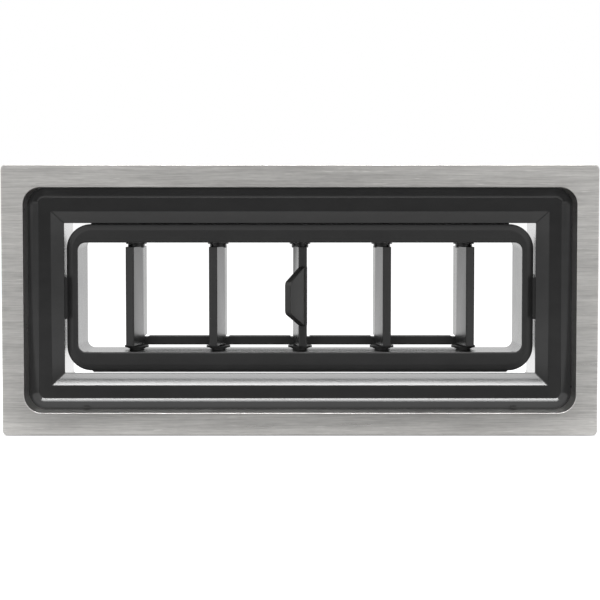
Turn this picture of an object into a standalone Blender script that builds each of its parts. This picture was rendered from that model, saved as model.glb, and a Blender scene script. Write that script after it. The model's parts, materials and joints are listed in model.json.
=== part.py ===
"""Louver vent for a dashboard: a machined bezel, a moulded housing and a tilting frame of linked vanes.

Units are metres and +Z is up. The origin is the centre of the bezel's rear plane, which seats on the
panel. The bezel's face looks along -Y, and the air comes out that way.
"""

import math

import bmesh
import bpy
from mathutils import Matrix, Vector

# Clearances
SEAT_GAP = 0.0003
RUNNING_GAP = 0.0003

# Bezel
BEZEL_WIDTH = 0.1397
BEZEL_HEIGHT = 0.0635
BEZEL_DEPTH = 0.0092
BEZEL_CORNER = 0.0011
RIM_SIDE = 0.0051
RIM_TOP = 0.0053
OPENING_CORNER = 0.0042
EDGE_CHAMFER = 0.00025

# Housing: the flange behind the rim, then the mouth from the front inwards
FLANGE_THICKNESS = 0.0012
FLANGE_LAP = 0.0029
FLANGE_CORNER = 0.002
NOSE_SIDE = 0.0022
NOSE_TOP = 0.0025
NOSE_DEPTH = 0.001
STEP_CORNER = 0.0014
LEDGE_WIDTH = 0.00305
FUNNEL_INSET = 0.00288
FUNNEL_DEPTH = 0.002
CREASE_INSET = 0.0012
CREASE_DEPTH = 0.00094
LIP_LAND = 0.0004
MITRE_RADIUS = 0.0002
HOUSING_WALL = 0.0017
THROAT_FLARE = 0.0014
THROAT_CORNER = 0.002
REAR_MARGIN = 0.002
NUB_WIDTH = 0.0013
NUB_HEIGHT = 0.0006
NUB_REACH = 0.0008
NUB_CORNER_DISTANCE = 0.01375

# Tilt frame
FRAME_DEPTH = 0.022
FRAME_SETBACK = 0.003
FRAME_GAP_SIDE = 0.00015
FRAME_GAP_TOP = 0.00025
FRAME_CORNER = 0.006
FRAME_STILE = 0.0027
FRAME_RAIL = 0.0045
FRAME_INNER_CORNER = 0.0019
FRAME_DRAFT_SIDE = 0.0003
FRAME_DRAFT_TOP = 0.0005
FRAME_BEVEL = 0.0015
FRAME_BEVEL_DEPTH = 0.0008
CROWN_RISE = 0.0022
CROWN_RADIUS = 0.0216
CROWN_ROOT = 0.0003
CROWN_END_SPACE = 0.0055
SWING_GAP = 0.0006
BOSS_DIAMETER = 0.0052
BOSS_DROP = 0.0005

# Vanes
VANE_COUNT = 5
VANE_END_SPACE = 0.01311
VANE_PIVOT_OFFSET = 0.0005
VANE_FRONT_SPACE = 0.0036
VANE_REAR_SPACE = 0.0023
VANE_FRONT_THICKNESS = 0.002
VANE_THICKNESS = 0.0035
VANE_REAR_THICKNESS = 0.0018
VANE_SPLAY_DEG = 6.9
CENTRE_SPLAY_DEG = 5.0
PIVOT_PIN_DIAMETER = 0.0018
NECK_DIAMETER = 0.0034
NECK_HEIGHT = 0.0003
PIN_ENGAGEMENT = 0.0032
YAW_LIMIT_DEG = 35.0

# Thumb tab on the middle vane
TAB_REACH = 0.0097
TAB_LEAN_DEG = 20.5
TAB_BASE_HEIGHT = 0.0146
TAB_TIP_HEIGHT = 0.0076
TAB_THICKNESS = 0.0015
TAB_RISE = 0.0001

# Bushes under the vanes
BUSH_STAND = 0.00083
BUSH_FLANGE_DIAMETER = 0.006
BUSH_FLANGE_THICKNESS = 0.00047
BUSH_NECK_DIAMETER = 0.0044
BUSH_SHANK_DIAMETER = 0.0036

# Link bar
CRANK_INSET = 0.0012
CRANK_BOSS_DIAMETER = 0.0028
CRANK_BOSS_HEIGHT = 0.0014
BAR_DEPTH = 0.004
BAR_HEIGHT = 0.0022
BAR_FLOOR_GAP = 0.0009
BAR_SEAT_DROP = 0.00025
BAR_SEAT_WIDTH = 0.0046
BAR_END = 0.0022

# Tilt pivots
PIVOT_DIAMETER = 0.003
PIVOT_HEAD_DIAMETER = 0.005
PIVOT_HEAD_THICKNESS = 0.001
PIVOT_ENGAGEMENT = 0.001
WASHER_DIAMETER = 0.0105
SPOT_FACE_DEPTH = 0.0006

# Screws that hold the housing in the bezel
SCREW_DIAMETER = 0.002
SCREW_HEAD_DIAMETER = 0.0034
SCREW_LENGTH = 0.0055
SCREW_INSET = 0.00245

# Spring clips that hold the vent in its panel
CLIP_WIDTH = 0.008
CLIP_THICKNESS = 0.0005
CLIP_SPACING = 0.076
CLIP_BASE_LENGTH = 0.014
CLIP_BEND_RADIUS = 0.0011
CLIP_ARM_RISE = 0.0036
CLIP_PANEL_SPACE = 0.0034
CLIP_TIP_LENGTH = 0.0016
CLIP_REAR_MARGIN = 0.003
PEG_DIAMETER = 0.0024
PEG_HEIGHT = 0.0016

# Fineness of curved outlines
CORNER_STEPS = 6
NOSE_STEPS = 4
CROWN_STEPS = 10
ROUND_SEGMENTS = 28
OVERCUT = 0.001

# Mouth and throat, worked out from the sizes above
FACE_Y = -BEZEL_DEPTH
OPENING_X = BEZEL_WIDTH / 2 - RIM_SIDE
OPENING_Z = BEZEL_HEIGHT / 2 - RIM_TOP
FLANGE_X = OPENING_X + FLANGE_LAP
FLANGE_Z = OPENING_Z + FLANGE_LAP
FLANGE_FRONT_Y = -FLANGE_THICKNESS
STEP_X = OPENING_X - NOSE_SIDE
STEP_Z = OPENING_Z - NOSE_TOP
LEDGE_Y = FLANGE_FRONT_Y + NOSE_DEPTH
LEDGE_X = STEP_X - LEDGE_WIDTH
LEDGE_Z = STEP_Z - LEDGE_WIDTH
LIP_X = LEDGE_X - FUNNEL_INSET
LIP_Z = LEDGE_Z - FUNNEL_INSET
LIP_Y = LEDGE_Y + FUNNEL_DEPTH

# Tilt frame, its axis and the throat that it swings in
FRAME_X = LIP_X - FRAME_GAP_SIDE
FRAME_Z = LIP_Z - FRAME_GAP_TOP
FRAME_FRONT_Y = LIP_Y + FRAME_SETBACK
FRAME_REAR_Y = FRAME_FRONT_Y + FRAME_DEPTH
TILT_Y = (FRAME_FRONT_Y + FRAME_REAR_Y) / 2
INNER_X = FRAME_X - FRAME_STILE
INNER_Z = FRAME_Z - FRAME_RAIL
HOUSING_REAR_Y = FRAME_REAR_Y + REAR_MARGIN
CAVITY_Z = math.hypot(FRAME_DEPTH / 2, FRAME_Z) + SWING_GAP
CAVITY_Y = LIP_Y + LIP_LAND + SEAT_GAP

# Vane pivots and levels, measured from the tilt axis
PIVOT_Y = TILT_Y + VANE_PIVOT_OFFSET
VANE_FRONT_ARM = PIVOT_Y - FRAME_FRONT_Y - VANE_FRONT_SPACE
VANE_REAR_ARM = FRAME_REAR_Y - VANE_REAR_SPACE - PIVOT_Y
CRANK_ARM = VANE_REAR_ARM - CRANK_INSET
VANE_PITCH = 2 * (INNER_X - VANE_END_SPACE) / (VANE_COUNT - 1)
BOSS_FACE_Z = INNER_Z - BOSS_DROP
BLADE_TOP_Z = BOSS_FACE_Z - SEAT_GAP - NECK_HEIGHT
BUSH_TOP_Z = -(INNER_Z - BUSH_STAND)
BLADE_BOTTOM_Z = BUSH_TOP_Z + SEAT_GAP
PIN_RADIUS = PIVOT_PIN_DIAMETER / 2
PIN_BORE_RADIUS = PIN_RADIUS + RUNNING_GAP


def frame_half_height(y):
    """Half the height of the tilt frame's drafted opening at depth y."""
    return INNER_Z + FRAME_DRAFT_TOP * (y - FRAME_FRONT_Y) / FRAME_DEPTH


def throat_half_width(y):
    """Half the width between the throat's flared side walls at depth y."""
    return LIP_X + THROAT_FLARE * (y - LIP_Y) / (HOUSING_REAR_Y - LIP_Y)


BAR_BOTTOM_Z = -frame_half_height(PIVOT_Y + CRANK_ARM - BAR_DEPTH / 2) + BAR_FLOOR_GAP
BAR_TOP_Z = BAR_BOTTOM_Z + BAR_HEIGHT
SHOULDER_Z = -frame_half_height(PIVOT_Y - BUSH_NECK_DIAMETER / 2) + SEAT_GAP
WASHER_INNER_X = FRAME_X - SPOT_FACE_DEPTH + SEAT_GAP
WASHER_OUTER_X = throat_half_width(TILT_Y - WASHER_DIAMETER / 2) - SEAT_GAP
PIVOT_TIP_X = FRAME_X - SPOT_FACE_DEPTH - PIVOT_ENGAGEMENT
PIVOT_HEAD_X = throat_half_width(TILT_Y + PIVOT_HEAD_DIAMETER / 2) + HOUSING_WALL + SEAT_GAP
SCREW_X = FLANGE_X - SCREW_INSET
SCREW_Z = FLANGE_Z - SCREW_INSET
CLIP_BASE_Z = CAVITY_Z + HOUSING_WALL + SEAT_GAP + CLIP_THICKNESS / 2
CLIP_REAR_Y = HOUSING_REAR_Y - CLIP_REAR_MARGIN
PEG_Y = CLIP_REAR_Y - CLIP_BASE_LENGTH / 2


def clear_scene():
    """Remove whatever the file holds."""
    for old in list(bpy.data.objects):
        bpy.data.objects.remove(old, do_unlink=True)


def new_collection(name):
    """Add a collection to the scene."""
    group = bpy.data.collections.new(name)
    bpy.context.scene.collection.children.link(group)
    return group


def new_material(name, colour, roughness, metallic):
    """Make a plain Principled material."""
    material = bpy.data.materials.new(name)
    material.use_nodes = True
    shader = material.node_tree.nodes["Principled BSDF"]
    shader.inputs["Base Color"].default_value = (*colour, 1.0)
    shader.inputs["Roughness"].default_value = roughness
    shader.inputs["Metallic"].default_value = metallic
    return material


def corner_signs():
    """The four sign pairs of a rectangle's corners, anticlockwise from +X +Z."""
    return ((1, 1), (-1, 1), (-1, -1), (1, -1))


def rounded_rectangle(half_x, half_z, radius):
    """Points round a rectangle with arcs at its corners, anticlockwise from the +X side."""
    points = []
    for corner, (side_x, side_z) in enumerate(corner_signs()):
        centre = Vector((side_x * (half_x - radius), side_z * (half_z - radius)))
        for step in range(CORNER_STEPS + 1):
            angle = (corner + step / CORNER_STEPS) * math.pi / 2
            points.append(centre + radius * Vector((math.cos(angle), math.sin(angle))))
    return points


def mesh_object(name, build, group):
    """Make an object in a collection from a function that fills a bmesh."""
    mesh = bpy.data.meshes.new(name)
    shape = bmesh.new()
    build(shape)
    shape.to_mesh(mesh)
    shape.free()
    made = bpy.data.objects.new(name, mesh)
    group.objects.link(made)
    return made


def loft_rings(shape, rings):
    """Skin rounded-rectangle rings (half_x, half_z, radius, y) into a closed frame."""
    loops = []
    for half_x, half_z, radius, y in rings:
        outline = rounded_rectangle(half_x, half_z, radius)
        loops.append([shape.verts.new((point.x, y, point.y)) for point in outline])
    for here, there in zip(loops, loops[1:] + loops[:1]):
        for index in range(len(here)):
            nearby = (index + 1) % len(here)
            shape.faces.new((here[index], here[nearby], there[nearby], there[index]))
    bmesh.ops.recalc_face_normals(shape, faces=shape.faces)


def add_cylinder(shape, start, end, diameter, end_diameter=None):
    """Add a capped cylinder or cone between two points to a bmesh."""
    start, end = Vector(start), Vector(end)
    span = end - start
    turn = span.to_track_quat("Z", "Y").to_matrix().to_4x4()
    bmesh.ops.create_cone(
        shape,
        cap_ends=True,
        segments=ROUND_SEGMENTS,
        radius1=diameter / 2,
        radius2=(diameter if end_diameter is None else end_diameter) / 2,
        depth=span.length,
        matrix=Matrix.Translation((start + end) / 2) @ turn,
    )


def add_box(shape, low, high):
    """Add a box between two corners to a bmesh."""
    low, high = Vector(low), Vector(high)
    size = Matrix.Diagonal((*(high - low), 1.0))
    bmesh.ops.create_cube(shape, size=1.0, matrix=Matrix.Translation((low + high) / 2) @ size)


def plate(name, outlines, thickness, group):
    """Extrude flat outlines by a thickness about the XY plane, as one welded mesh."""
    curve = bpy.data.curves.new(name, "CURVE")
    curve.dimensions = "2D"
    curve.fill_mode = "BOTH"
    curve.extrude = thickness / 2
    for outline in outlines:
        spline = curve.splines.new("POLY")
        spline.points.add(len(outline) - 1)
        for point, (x, y) in zip(spline.points, outline):
            point.co = (x, y, 0.0, 1.0)
        spline.use_cyclic_u = True
    drawn = bpy.data.objects.new(name, curve)
    group.objects.link(drawn)
    made = bake(drawn)
    shape = bmesh.new()
    shape.from_mesh(made.data)
    bmesh.ops.remove_doubles(shape, verts=shape.verts, dist=1e-6)
    bmesh.ops.recalc_face_normals(shape, faces=shape.faces)
    shape.to_mesh(made.data)
    shape.free()
    return made


def bake(source):
    """Replace an object by a plain mesh object of its evaluated shape."""
    bpy.context.view_layer.update()
    mesh = bpy.data.meshes.new_from_object(source.evaluated_get(bpy.context.evaluated_depsgraph_get()))
    name, place, groups = source.name, source.matrix_world.copy(), list(source.users_collection)
    bpy.data.objects.remove(source, do_unlink=True)
    made = bpy.data.objects.new(name, mesh)
    mesh.name = name
    made.matrix_world = place
    for group in groups:
        group.objects.link(made)
    return made


def boolean(target, tool, operation):
    """Cut a target with a tool, or join the tool to it, and keep the tool as a hidden wire."""
    tool.hide_render = True
    tool.display_type = "WIRE"
    modifier = target.modifiers.new(f"{operation.lower()} {tool.name}", "BOOLEAN")
    modifier.operation = operation
    modifier.object = tool
    modifier.solver = "EXACT"


def turned(name, profile, axis, group):
    """Turn a profile of (radius, height) points about an axis, given from the inside top outwards."""
    mesh = bpy.data.meshes.new(name)
    on_axis = profile[0][0] == 0.0
    edges = [(index, index + 1) for index in range(len(profile) - 1)]
    if not on_axis:
        edges.append((len(profile) - 1, 0))
    mesh.from_pydata([(radius, 0.0, height) for radius, height in profile], edges, [])
    made = bpy.data.objects.new(name, mesh)
    group.objects.link(made)
    screw = made.modifiers.new("turn", "SCREW")
    screw.axis = "Z"
    screw.steps = ROUND_SEGMENTS
    screw.render_steps = ROUND_SEGMENTS
    screw.use_merge_vertices = True
    screw.merge_threshold = 1e-6
    made.rotation_euler = Vector(axis).to_track_quat("Z", "Y").to_euler()
    return made


def finish(piece, material, smooth_angle_deg=30.0):
    """Give a piece its material and smooth its round faces."""
    piece.data.materials.clear()
    piece.data.materials.append(material)
    piece.data.shade_smooth()
    piece.data.set_sharp_from_angle(angle=math.radians(smooth_angle_deg))


def stand_upright(piece, y):
    """Turn a plate drawn in XY to stand in XZ at depth y, as plain vertices."""
    piece.data.transform(Matrix.Translation((0.0, y, 0.0)) @ Matrix.Rotation(math.pi / 2, 4, "X"))
    piece.data.update()


def build_bezel(parts, cutters, material):
    """The machined rim, with a rebate behind it for the housing's flange and blind screw holes."""
    outlines = [
        rounded_rectangle(BEZEL_WIDTH / 2, BEZEL_HEIGHT / 2, BEZEL_CORNER),
        rounded_rectangle(OPENING_X, OPENING_Z, OPENING_CORNER),
    ]
    bezel = plate("bezel", outlines, BEZEL_DEPTH, parts)
    stand_upright(bezel, FACE_Y + BEZEL_DEPTH / 2)
    chamfer = bezel.modifiers.new("edges", "BEVEL")
    chamfer.width = EDGE_CHAMFER
    chamfer.segments = 1
    chamfer.limit_method = "ANGLE"
    chamfer.angle_limit = math.radians(60)
    floor_y = FLANGE_FRONT_Y - SEAT_GAP
    outline = rounded_rectangle(FLANGE_X + SEAT_GAP, FLANGE_Z + SEAT_GAP, FLANGE_CORNER + SEAT_GAP)
    rebate = plate("bezel_rebate", [outline], OVERCUT - floor_y, cutters)
    stand_upright(rebate, (OVERCUT + floor_y) / 2)
    boolean(bezel, rebate, "DIFFERENCE")

    def drill(shape):
        bottom_y = -SCREW_LENGTH - SEAT_GAP
        for side_x, side_z in corner_signs():
            centre = (side_x * SCREW_X, side_z * SCREW_Z)
            start = (centre[0], bottom_y, centre[1])
            add_cylinder(shape, start, (centre[0], 0.0, centre[1]), SCREW_DIAMETER + 2 * RUNNING_GAP)

    boolean(bezel, mesh_object("bezel_screw_holes", drill, cutters), "DIFFERENCE")
    finish(bezel, material)
    return bezel


def housing_rings():
    """The housing's section as rings: along the mouth and throat to the rear, then back outside."""
    rings = []
    turn = 2 * math.atan2(NOSE_DEPTH, NOSE_TOP)
    for step in range(NOSE_STEPS + 1):
        angle = step / NOSE_STEPS * turn
        inset = math.sin(angle) / math.sin(turn)
        radius = OPENING_CORNER + (STEP_CORNER - OPENING_CORNER) * inset
        depth = NOSE_DEPTH * (1 - math.cos(angle)) / (1 - math.cos(turn))
        half = (OPENING_X - NOSE_SIDE * inset, OPENING_Z - NOSE_TOP * inset)
        rings.append((*half, radius, FLANGE_FRONT_Y + depth))
    funnel_wall = LEDGE_Y + HOUSING_WALL
    throat_start = CAVITY_Y + HOUSING_WALL
    outer_corner = THROAT_CORNER + HOUSING_WALL
    outer_z = CAVITY_Z + HOUSING_WALL
    rings += [
        (LEDGE_X, LEDGE_Z, MITRE_RADIUS, LEDGE_Y),
        (LEDGE_X - CREASE_INSET, LEDGE_Z - CREASE_INSET, MITRE_RADIUS, LEDGE_Y + CREASE_DEPTH),
        (LIP_X, LIP_Z, MITRE_RADIUS, LIP_Y),
        (throat_half_width(LIP_Y + LIP_LAND), LIP_Z, MITRE_RADIUS, LIP_Y + LIP_LAND),
        (throat_half_width(CAVITY_Y), CAVITY_Z, THROAT_CORNER, CAVITY_Y),
        (throat_half_width(HOUSING_REAR_Y), CAVITY_Z, THROAT_CORNER, HOUSING_REAR_Y),
        (throat_half_width(HOUSING_REAR_Y) + HOUSING_WALL, outer_z, outer_corner, HOUSING_REAR_Y),
        (throat_half_width(throat_start) + HOUSING_WALL, outer_z, outer_corner, throat_start),
        (LEDGE_X + HOUSING_WALL, outer_z, outer_corner, funnel_wall),
        (STEP_X + HOUSING_WALL, STEP_Z + HOUSING_WALL, STEP_CORNER + HOUSING_WALL, funnel_wall),
        (STEP_X + HOUSING_WALL, STEP_Z + HOUSING_WALL, STEP_CORNER + HOUSING_WALL, 0.0),
        (FLANGE_X, FLANGE_Z, FLANGE_CORNER, 0.0),
        (FLANGE_X, FLANGE_Z, FLANGE_CORNER, FLANGE_FRONT_Y),
    ]
    return rings


def build_housing(parts, cutters, material):
    """The moulded box: flange, bullnosed mouth, ledge, funnel and an open throat."""
    housing = mesh_object("housing", lambda shape: loft_rings(shape, housing_rings()), parts)

    def add_pegs(shape):
        root_z = CAVITY_Z + HOUSING_WALL / 2
        tip_z = CAVITY_Z + HOUSING_WALL + PEG_HEIGHT
        for side_x, side_z in corner_signs():
            x = side_x * CLIP_SPACING / 2
            add_cylinder(shape, (x, PEG_Y, side_z * root_z), (x, PEG_Y, side_z * tip_z), PEG_DIAMETER)

    boolean(housing, mesh_object("clip_pegs", add_pegs, cutters), "UNION")

    def add_nubs(shape):
        low_z = -(OPENING_Z - SEAT_GAP)
        for side in (-1, 1):
            x = side * (OPENING_X - NUB_CORNER_DISTANCE)
            low = (x - NUB_WIDTH / 2, FLANGE_FRONT_Y - NUB_REACH, low_z)
            high = (x + NUB_WIDTH / 2, LEDGE_Y, low_z + NUB_HEIGHT)
            add_box(shape, low, high)

    boolean(housing, mesh_object("locating_nubs", add_nubs, cutters), "UNION")

    def drill(shape):
        pivot_hole = PIVOT_DIAMETER + 2 * RUNNING_GAP
        outer_x = PIVOT_HEAD_X + OVERCUT
        for side in (-1, 1):
            start = (side * (LIP_X - OVERCUT), TILT_Y, 0.0)
            add_cylinder(shape, start, (side * outer_x, TILT_Y, 0.0), pivot_hole)
        for side_x, side_z in corner_signs():
            x, z = side_x * SCREW_X, side_z * SCREW_Z
            hole = SCREW_DIAMETER + 2 * RUNNING_GAP
            add_cylinder(shape, (x, FLANGE_FRONT_Y - OVERCUT, z), (x, -head_height(), z), hole)

    def countersink(shape):
        for side_x, side_z in corner_signs():
            x, z = side_x * SCREW_X, side_z * SCREW_Z
            small = SCREW_DIAMETER + 2 * RUNNING_GAP
            reach = head_height() + OVERCUT
            start = (x, -head_height() - OVERCUT / 10, z)
            add_cylinder(shape, start, (x, OVERCUT, z), small, small + 2 * reach)

    boolean(housing, mesh_object("housing_holes", drill, cutters), "DIFFERENCE")
    boolean(housing, mesh_object("screw_countersinks", countersink, cutters), "DIFFERENCE")
    finish(housing, material)
    return housing


def head_height():
    """Height of a screw's 90 degree countersunk head."""
    return (SCREW_HEAD_DIAMETER - SCREW_DIAMETER) / 2


def build_screws(parts, material):
    """Countersunk screws from the rear, through the flange into the bezel."""
    profile = [
        (0.0, 0.0),
        (SCREW_HEAD_DIAMETER / 2, 0.0),
        (SCREW_DIAMETER / 2, -head_height()),
        (SCREW_DIAMETER / 2, -SCREW_LENGTH + SCREW_DIAMETER / 4),
        (SCREW_DIAMETER / 4, -SCREW_LENGTH),
        (0.0, -SCREW_LENGTH),
    ]
    for number, (side_x, side_z) in enumerate(corner_signs(), start=1):
        screw = turned(f"bezel_screw_{number}", profile, (0, 1, 0), parts)
        screw.location = (side_x * SCREW_X, 0.0, side_z * SCREW_Z)
        finish(screw, material)


def clip_path():
    """The clip's centre line in (y, height): base, rear bend, spring arm and turned-in tip."""
    start = (CLIP_REAR_Y - CLIP_BASE_LENGTH, 0.0)
    tip = Vector((CLIP_PANEL_SPACE, CLIP_ARM_RISE))
    centre = Vector((CLIP_REAR_Y, CLIP_BEND_RADIUS))
    to_tip = tip - centre
    arm_angle = math.atan2(to_tip.y, to_tip.x) - math.acos(CLIP_BEND_RADIUS / to_tip.length)
    turn = arm_angle + math.pi / 2
    path = [Vector(start)]
    for step in range(CORNER_STEPS + 1):
        angle = -math.pi / 2 + turn * step / CORNER_STEPS
        path.append(centre + CLIP_BEND_RADIUS * Vector((math.cos(angle), math.sin(angle))))
    path.append(tip)
    path.append(tip + CLIP_TIP_LENGTH * Vector((-0.5, -0.5)))
    return path


def build_clips(parts, cutters, material):
    """Spring clips over the pegs on the housing's top and bottom walls."""
    path = clip_path()

    def strip(shape):
        edges = []
        for x in (-CLIP_WIDTH / 2, CLIP_WIDTH / 2):
            edges.append([shape.verts.new((x, point.x, point.y)) for point in path])
        for index in range(len(path) - 1):
            near, far = edges
            shape.faces.new((near[index], far[index], far[index + 1], near[index + 1]))

    def punch(shape):
        hole = PEG_DIAMETER + 2 * RUNNING_GAP
        reach = CLIP_THICKNESS
        add_cylinder(shape, (0.0, PEG_Y, -reach), (0.0, PEG_Y, reach), hole)

    first = mesh_object("dash_clip", strip, parts)
    thicken = first.modifiers.new("thickness", "SOLIDIFY")
    thicken.thickness = CLIP_THICKNESS
    thicken.offset = 0.0
    thicken.use_even_offset = True
    punch_tool = mesh_object("clip_hole", punch, cutters)
    boolean(first, punch_tool, "DIFFERENCE")
    first = bake(first)
    finish(first, material)
    for number, (side_x, side_z) in enumerate(corner_signs(), start=1):
        clip = bpy.data.objects.new(f"dash_clip_{number}", first.data)
        parts.objects.link(clip)
        clip.location = (side_x * CLIP_SPACING / 2, 0.0, side_z * CLIP_BASE_Z)
        clip.rotation_euler = (0.0, 0.0 if side_z > 0 else math.pi, 0.0)
    bpy.data.objects.remove(first, do_unlink=True)


def frame_rings():
    """The tilt frame's section as rings: bevelled outside, drafted inside."""
    bevelled = (FRAME_X - FRAME_BEVEL, FRAME_Z - FRAME_BEVEL, FRAME_CORNER - FRAME_BEVEL)
    inner_rear = (INNER_X + FRAME_DRAFT_SIDE, frame_half_height(FRAME_REAR_Y), FRAME_INNER_CORNER)
    edge = EDGE_CHAMFER
    return [
        (*bevelled, FRAME_FRONT_Y),
        (FRAME_X, FRAME_Z, FRAME_CORNER, FRAME_FRONT_Y + FRAME_BEVEL_DEPTH),
        (FRAME_X, FRAME_Z, FRAME_CORNER, FRAME_REAR_Y - edge),
        (FRAME_X - edge, FRAME_Z - edge, FRAME_CORNER - edge, FRAME_REAR_Y),
        (*inner_rear, FRAME_REAR_Y),
        (INNER_X, INNER_Z, FRAME_INNER_CORNER, FRAME_FRONT_Y),
    ]


def vane_xs():
    """Where the vanes' pivots stand along X."""
    return [(index - (VANE_COUNT - 1) / 2) * VANE_PITCH for index in range(VANE_COUNT)]


def crown_outline():
    """The crown's section from the side: a shallow arc over a chord sunk in the frame's wall."""
    sweep = math.acos(1 - (CROWN_RISE + CROWN_ROOT) / CROWN_RADIUS)
    centre = Vector((TILT_Y, FRAME_Z + CROWN_RISE - CROWN_RADIUS))
    angles = [sweep * (1 - 2 * step / CROWN_STEPS) for step in range(CROWN_STEPS + 1)]
    return [centre + CROWN_RADIUS * Vector((math.sin(angle), math.cos(angle))) for angle in angles]


def add_crowns(frame, cutters):
    """Arched crowns on the frame's top and bottom that close its gaps to the throat as it tips."""
    sideways = Matrix.Rotation(math.pi / 2, 4, "Z") @ Matrix.Rotation(math.pi / 2, 4, "X")
    length = 2 * (FRAME_X - CROWN_END_SPACE)
    for word, half_turns in (("top", 0), ("bottom", 1)):
        crown = plate(f"{word}_crown", [crown_outline()], length, cutters)
        crown.data.transform(Matrix.Rotation(half_turns * math.pi, 4, "Y") @ sideways)
        crown.data.update()
        boolean(frame, crown, "UNION")


def build_frame(parts, cutters, material, tilt):
    """The tilting frame, with a boss over each vane, pivot holes and a spot face at each tilt pin."""
    frame = mesh_object("tilt_frame", lambda shape: loft_rings(shape, frame_rings()), parts)

    def add_bosses(shape):
        root_z = INNER_Z + FRAME_RAIL / 2
        for x in vane_xs():
            add_cylinder(shape, (x, PIVOT_Y, BOSS_FACE_Z), (x, PIVOT_Y, root_z), BOSS_DIAMETER)

    def drill(shape):
        top_z = BOSS_FACE_Z + PIN_ENGAGEMENT + SEAT_GAP
        for x in vane_xs():
            ceiling = (x, PIVOT_Y, BOSS_FACE_Z - OVERCUT)
            add_cylinder(shape, ceiling, (x, PIVOT_Y, top_z), 2 * PIN_BORE_RADIUS)
            floor = (x, PIVOT_Y, -FRAME_Z - CROWN_RISE - OVERCUT)
            bush_hole = BUSH_SHANK_DIAMETER + 2 * SEAT_GAP
            add_cylinder(shape, floor, (x, PIVOT_Y, BUSH_TOP_Z), bush_hole)

    def side_holes(shape):
        outside = FRAME_X + OVERCUT
        hole = PIVOT_DIAMETER + 2 * RUNNING_GAP
        for side in (-1, 1):
            end = (side * (PIVOT_TIP_X - SEAT_GAP), TILT_Y, 0.0)
            add_cylinder(shape, (side * outside, TILT_Y, 0.0), end, hole)

    def spot_faces(shape):
        outside = FRAME_X + OVERCUT
        for side in (-1, 1):
            end = (side * (FRAME_X - SPOT_FACE_DEPTH), TILT_Y, 0.0)
            add_cylinder(shape, (side * outside, TILT_Y, 0.0), end, WASHER_DIAMETER + 2 * RUNNING_GAP)

    boolean(frame, mesh_object("vane_bosses", add_bosses, cutters), "UNION")
    add_crowns(frame, cutters)
    boolean(frame, mesh_object("vane_pin_holes", drill, cutters), "DIFFERENCE")
    boolean(frame, mesh_object("tilt_pin_holes", side_holes, cutters), "DIFFERENCE")
    boolean(frame, mesh_object("tilt_spot_faces", spot_faces, cutters), "DIFFERENCE")
    frame = bake(frame)
    frame.data.transform(Matrix.Translation((0.0, -TILT_Y, 0.0)))
    frame.parent = tilt
    finish(frame, material)


def blade_outline():
    """A vane's section in plan, thickest at its pivot."""
    front, middle, rear = VANE_FRONT_THICKNESS / 2, VANE_THICKNESS / 2, VANE_REAR_THICKNESS / 2
    return [
        (-front, -VANE_FRONT_ARM),
        (front, -VANE_FRONT_ARM),
        (middle, 0.0),
        (rear, VANE_REAR_ARM),
        (-rear, VANE_REAR_ARM),
        (-middle, 0.0),
    ]


def notch_start(splay):
    """How far behind its pivot a vane's foot may reach and still clear the bar at both yaw limits."""
    limit = math.radians(YAW_LIMIT_DEG)
    sideways = VANE_THICKNESS / 2 + CRANK_ARM * abs(math.sin(splay)) / 2
    return CRANK_ARM - BAR_DEPTH / 2 / math.cos(limit) - sideways * math.tan(limit) - RUNNING_GAP


def add_tab(cutters):
    """The thumb tab as a plate that narrows to its tip and leans to the left."""
    root = VANE_FRONT_THICKNESS
    base, tip = TAB_BASE_HEIGHT / 2, TAB_TIP_HEIGHT / 2
    lower = [(-root, -base), (0.0, -base), (TAB_REACH, -tip)]
    outline = lower + [(x, -height) for x, height in reversed(lower)]
    tab = plate("thumb_tab", [outline], TAB_THICKNESS, cutters)
    forwards = Matrix.Rotation(-math.pi / 2, 4, "Z") @ Matrix.Rotation(math.pi / 2, 4, "X")
    lean = Matrix.Rotation(-math.radians(TAB_LEAN_DEG), 4, "Z")
    splay = math.radians(CENTRE_SPLAY_DEG)
    foot_x = VANE_FRONT_ARM * math.sin(splay) - (VANE_FRONT_THICKNESS - TAB_THICKNESS) / 2
    foot = Matrix.Translation((foot_x, -VANE_FRONT_ARM * math.cos(splay), TAB_RISE))
    tab.data.transform(foot @ lean @ forwards)
    tab.data.update()
    return tab


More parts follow.
